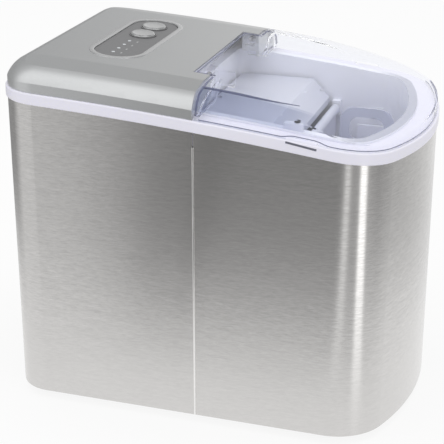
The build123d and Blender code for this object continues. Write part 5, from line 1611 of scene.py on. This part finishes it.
@dataclass
class CoolingSet(SubAssembly):
    """Compressor, condenser, fan and pipes behind the bulkhead."""

    title: str = "cooling set"
    nodes: dict[str, Look] = field(default_factory=lambda: {
        "bulkhead": Look.ZINC, "compressor": Look.ENAMEL, "compressor_plate": Look.ENAMEL,
        "compressor_grommets": Look.RUBBER, "compressor_bolts": Look.SCREW,
        "compressor_relay": Look.BLACK, "condenser_fins": Look.FIN, "condenser_coil": Look.COPPER,
        "fan_frame": Look.BLACK, "fan_motor": Look.ZINC, "fan_rotor": Look.BLACK,
        "suction_line": Look.COPPER, "discharge_line": Look.COPPER, "liquid_line": Look.COPPER,
        "filter_drier": Look.COPPER, "capillary_line": Look.COPPER, "hot_gas_valve": Look.BLACK,
        "power_board": Look.BOARD,
    })


@dataclass(frozen=True)
class Room:
    """What the steel mirrors: a white sweep near the object, and the studio by compass bearing."""

    tones: tuple[Span, ...] = (
        (-180.0, 0.26), (-168.0, 0.26), (-159.0, 0.34), (-156.0, 1.00), (-151.0, 1.00),
        (-147.0, 0.40), (-134.0, 0.42), (-131.0, 1.80), (-123.0, 1.80), (-119.0, 0.50),
        (-100.0, 0.36), (-80.0, 0.44), (-60.0, 0.58), (-40.0, 0.76), (-20.0, 0.90),
        (0.0, 0.96), (14.0, 0.76), (20.0, 0.58), (27.0, 0.35), (60.0, 0.34), (92.0, 0.38),
        (112.0, 0.78), (144.0, 0.80), (152.0, 0.64), (157.0, 0.42), (160.0, 0.24),
        (163.0, 0.27), (165.0, 0.13), (168.0, 0.26), (180.0, 0.26),
    )
    ceiling: tuple[Span, ...] = (
        (-0.85, 1.10), (-0.55, 1.25), (-0.30, 1.25), (-0.05, 0.55), (0.4, 0.40), (0.9, 0.48),
    )
    horizon: Span = (0.20, 0.55)
    sweep: float = 1.05
    sweep_reach: Span = (1.3, 4.6)
    half_width: float = 0.1225
    half_depth: float = 0.178

    def by_bearing(self, bench: Bench, vector: Socket) -> Socket:
        """Tone of the room in one direction.

        Args:
            bench: takes the nodes.
            vector: the direction.

        Returns:
            The tone as a colour.
        """
        compass = bench.add("ShaderNodeTexGradient", gradient_type="RADIAL")
        bench.join(vector, compass.inputs["Vector"])
        tones = [(bearing / 360.0 + 0.5, tone) for bearing, tone in self.tones]
        return bench.greys(compass.outputs["Fac"], tones)

    def on_floor(self, bench: Bench) -> Socket:
        """Tone of the floor: white round the object, then that of the room.

        Args:
            bench: takes the nodes.

        Returns:
            The tone as a colour.
        """
        size = bench.add("ShaderNodeVectorMath", operation="LENGTH")
        scale = (1.0 / self.half_width, 1.0 / self.half_depth, 1.0)
        bench.join(bench.coords(scale), size.inputs[0])
        away = bench.spread(size.outputs["Value"], self.sweep_reach, soft=True)
        return bench.mix(away, thrice(self.sweep), self.by_bearing(bench, bench.place()))

    def in_sky(self, bench: Bench) -> Socket:
        """Tone of the sky: that of the room near the horizon, then the bright ceiling.

        Args:
            bench: takes the nodes.

        Returns:
            The tone as a colour.
        """
        way = bench.place("Generated")
        up = bench.spread(bench.part_of(way), self.horizon, soft=True)
        across = bench.spread(bench.part_of(way, "X"), (-1.0, 1.0))
        tones = [((place + 1.0) / 2, tone) for place, tone in self.ceiling]
        return bench.mix(up, self.by_bearing(bench, way), bench.greys(across, tones))


@dataclass
class Studio:
    """Pale floor, soft light, and the camera of the photograph."""

    room: Room = Room()
    camera_at: Triple = (-1.0923, -0.3348, 0.6108)
    camera_towards: Triple = (0.8823, 0.2816, -0.3773)
    focal_px: float = 1323.0
    clip_start: float = 0.02
    floor_half: float = 6.0
    floor_drop: float = 0.0002
    floor_cloud: float = 3.0
    floor_tones: tuple[Span, ...] = ((0.3, 0.80), (0.7, 0.82))
    floor_white: float = 1.0
    floor_glow: float = 0.86
    lamp_at: Triple = (-0.25, -0.05, 1.9)
    lamp_towards: Triple = (0.0, 0.0, 0.15)
    lamp_side: float = 1.6
    lamp_watts: float = 9.5
    sky: float = 0.91

    def shoot(self) -> None:
        """Put the camera where the photograph was taken from."""
        bpy.ops.object.camera_add(location=self.camera_at)
        camera = bpy.context.active_object
        camera.name = "photo_camera"
        camera.rotation_euler = Vector(self.camera_towards).to_track_quat("-Z", "Y").to_euler()
        camera.data.sensor_fit = "HORIZONTAL"
        camera.data.sensor_width = SENSOR_WIDTH
        camera.data.lens = self.focal_px / PHOTO_SIDE * SENSOR_WIDTH
        camera.data.clip_start = self.clip_start
        bpy.context.scene.camera = camera

    def seen(self, bench: Bench) -> tuple[Socket, Socket]:
        """Sort the rays that reach the floor or sky.

        Args:
            bench: takes the nodes.

        Returns:
            Whether a ray sees the white background, straight or through the lid, and whether a
            mirror sends it.
        """
        path = bench.add("ShaderNodeLightPath").outputs
        white = bench.math("MAXIMUM", path["Is Camera Ray"], path["Is Transmission Ray"])
        return white, bench.math("GREATER_THAN", path["Is Glossy Ray"], path["Is Transmission Ray"])

    def lay_floor(self) -> None:
        """Lay a wide floor that reads white and keeps the shadow."""
        Shop.clear()
        bpy.ops.mesh.primitive_plane_add(
            size=2 * self.floor_half, location=(0.0, 0.0, -self.floor_drop)
        )
        floor = Shop.adopt("studio_floor")
        material, bench = new_material("studio_floor")
        material.cycles.emission_sampling = "NONE"
        matt = bench.add("ShaderNodeBsdfDiffuse")
        cloud = bench.noise(thrice(self.floor_cloud))
        bench.join(bench.greys(cloud, self.floor_tones), matt.inputs["Color"])
        white, mirror = self.seen(bench)
        glow = bench.add("ShaderNodeEmission")
        bench.join(bench.mix(mirror, WHITE, self.room.on_floor(bench)), glow.inputs["Color"])
        glow.inputs["Strength"].default_value = self.floor_white
        share = bench.math("MAXIMUM", bench.math("MULTIPLY", white, self.floor_glow), mirror)
        bench.blend(share, matt, glow)
        floor.data.materials.append(material)

    def light(self) -> None:
        """Hang one wide soft lamp overhead, kept out of the mirrors."""
        bpy.ops.object.light_add(type="AREA", location=self.lamp_at)
        lamp = bpy.context.active_object
        lamp.name = "overhead"
        way = Vector(self.lamp_towards) - Vector(self.lamp_at)
        lamp.rotation_euler = way.to_track_quat("-Z", "Y").to_euler()
        lamp.data.shape = "SQUARE"
        lamp.data.size = self.lamp_side
        lamp.data.energy = self.lamp_watts
        lamp.visible_glossy = False

    def open_sky(self) -> None:
        """White for the camera, the room for mirrors, and an even pale sky for the rest."""
        world = bpy.data.worlds.new("studio_sky")
        bpy.context.scene.world = world
        world.use_nodes = True
        world.cycles.sampling_method = "NONE"
        bench = Bench(world.node_tree, "ShaderNodeOutputWorld")
        white, mirror = self.seen(bench)
        plain = bench.greys(white, ((0.0, self.sky), (1.0, 1.0)))
        sky = bench.add("ShaderNodeBackground")
        bench.join(bench.mix(mirror, plain, self.room.in_sky(bench)), sky.inputs["Color"])
        bench.join(sky.outputs["Background"], bench.output.inputs["Surface"])

    def build(self) -> None:
        """Set up the whole studio."""
        self.shoot()
        self.lay_floor()
        self.light()
        self.open_sky()
        bpy.context.scene.view_settings.view_transform = "Standard"


def main() -> None:
    """Dress and build every sub-assembly in order."""
    logging.basicConfig(level=logging.INFO, format="%(message)s")
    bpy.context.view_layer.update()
    Shop.clear()
    Studio().build()
    box = Paintbox()
    for kind in (Casing, TopCover, ControlPanel, Lid, IceWorks, CoolingSet):
        kind(box).make()


if __name__ == "__main__":
    main()
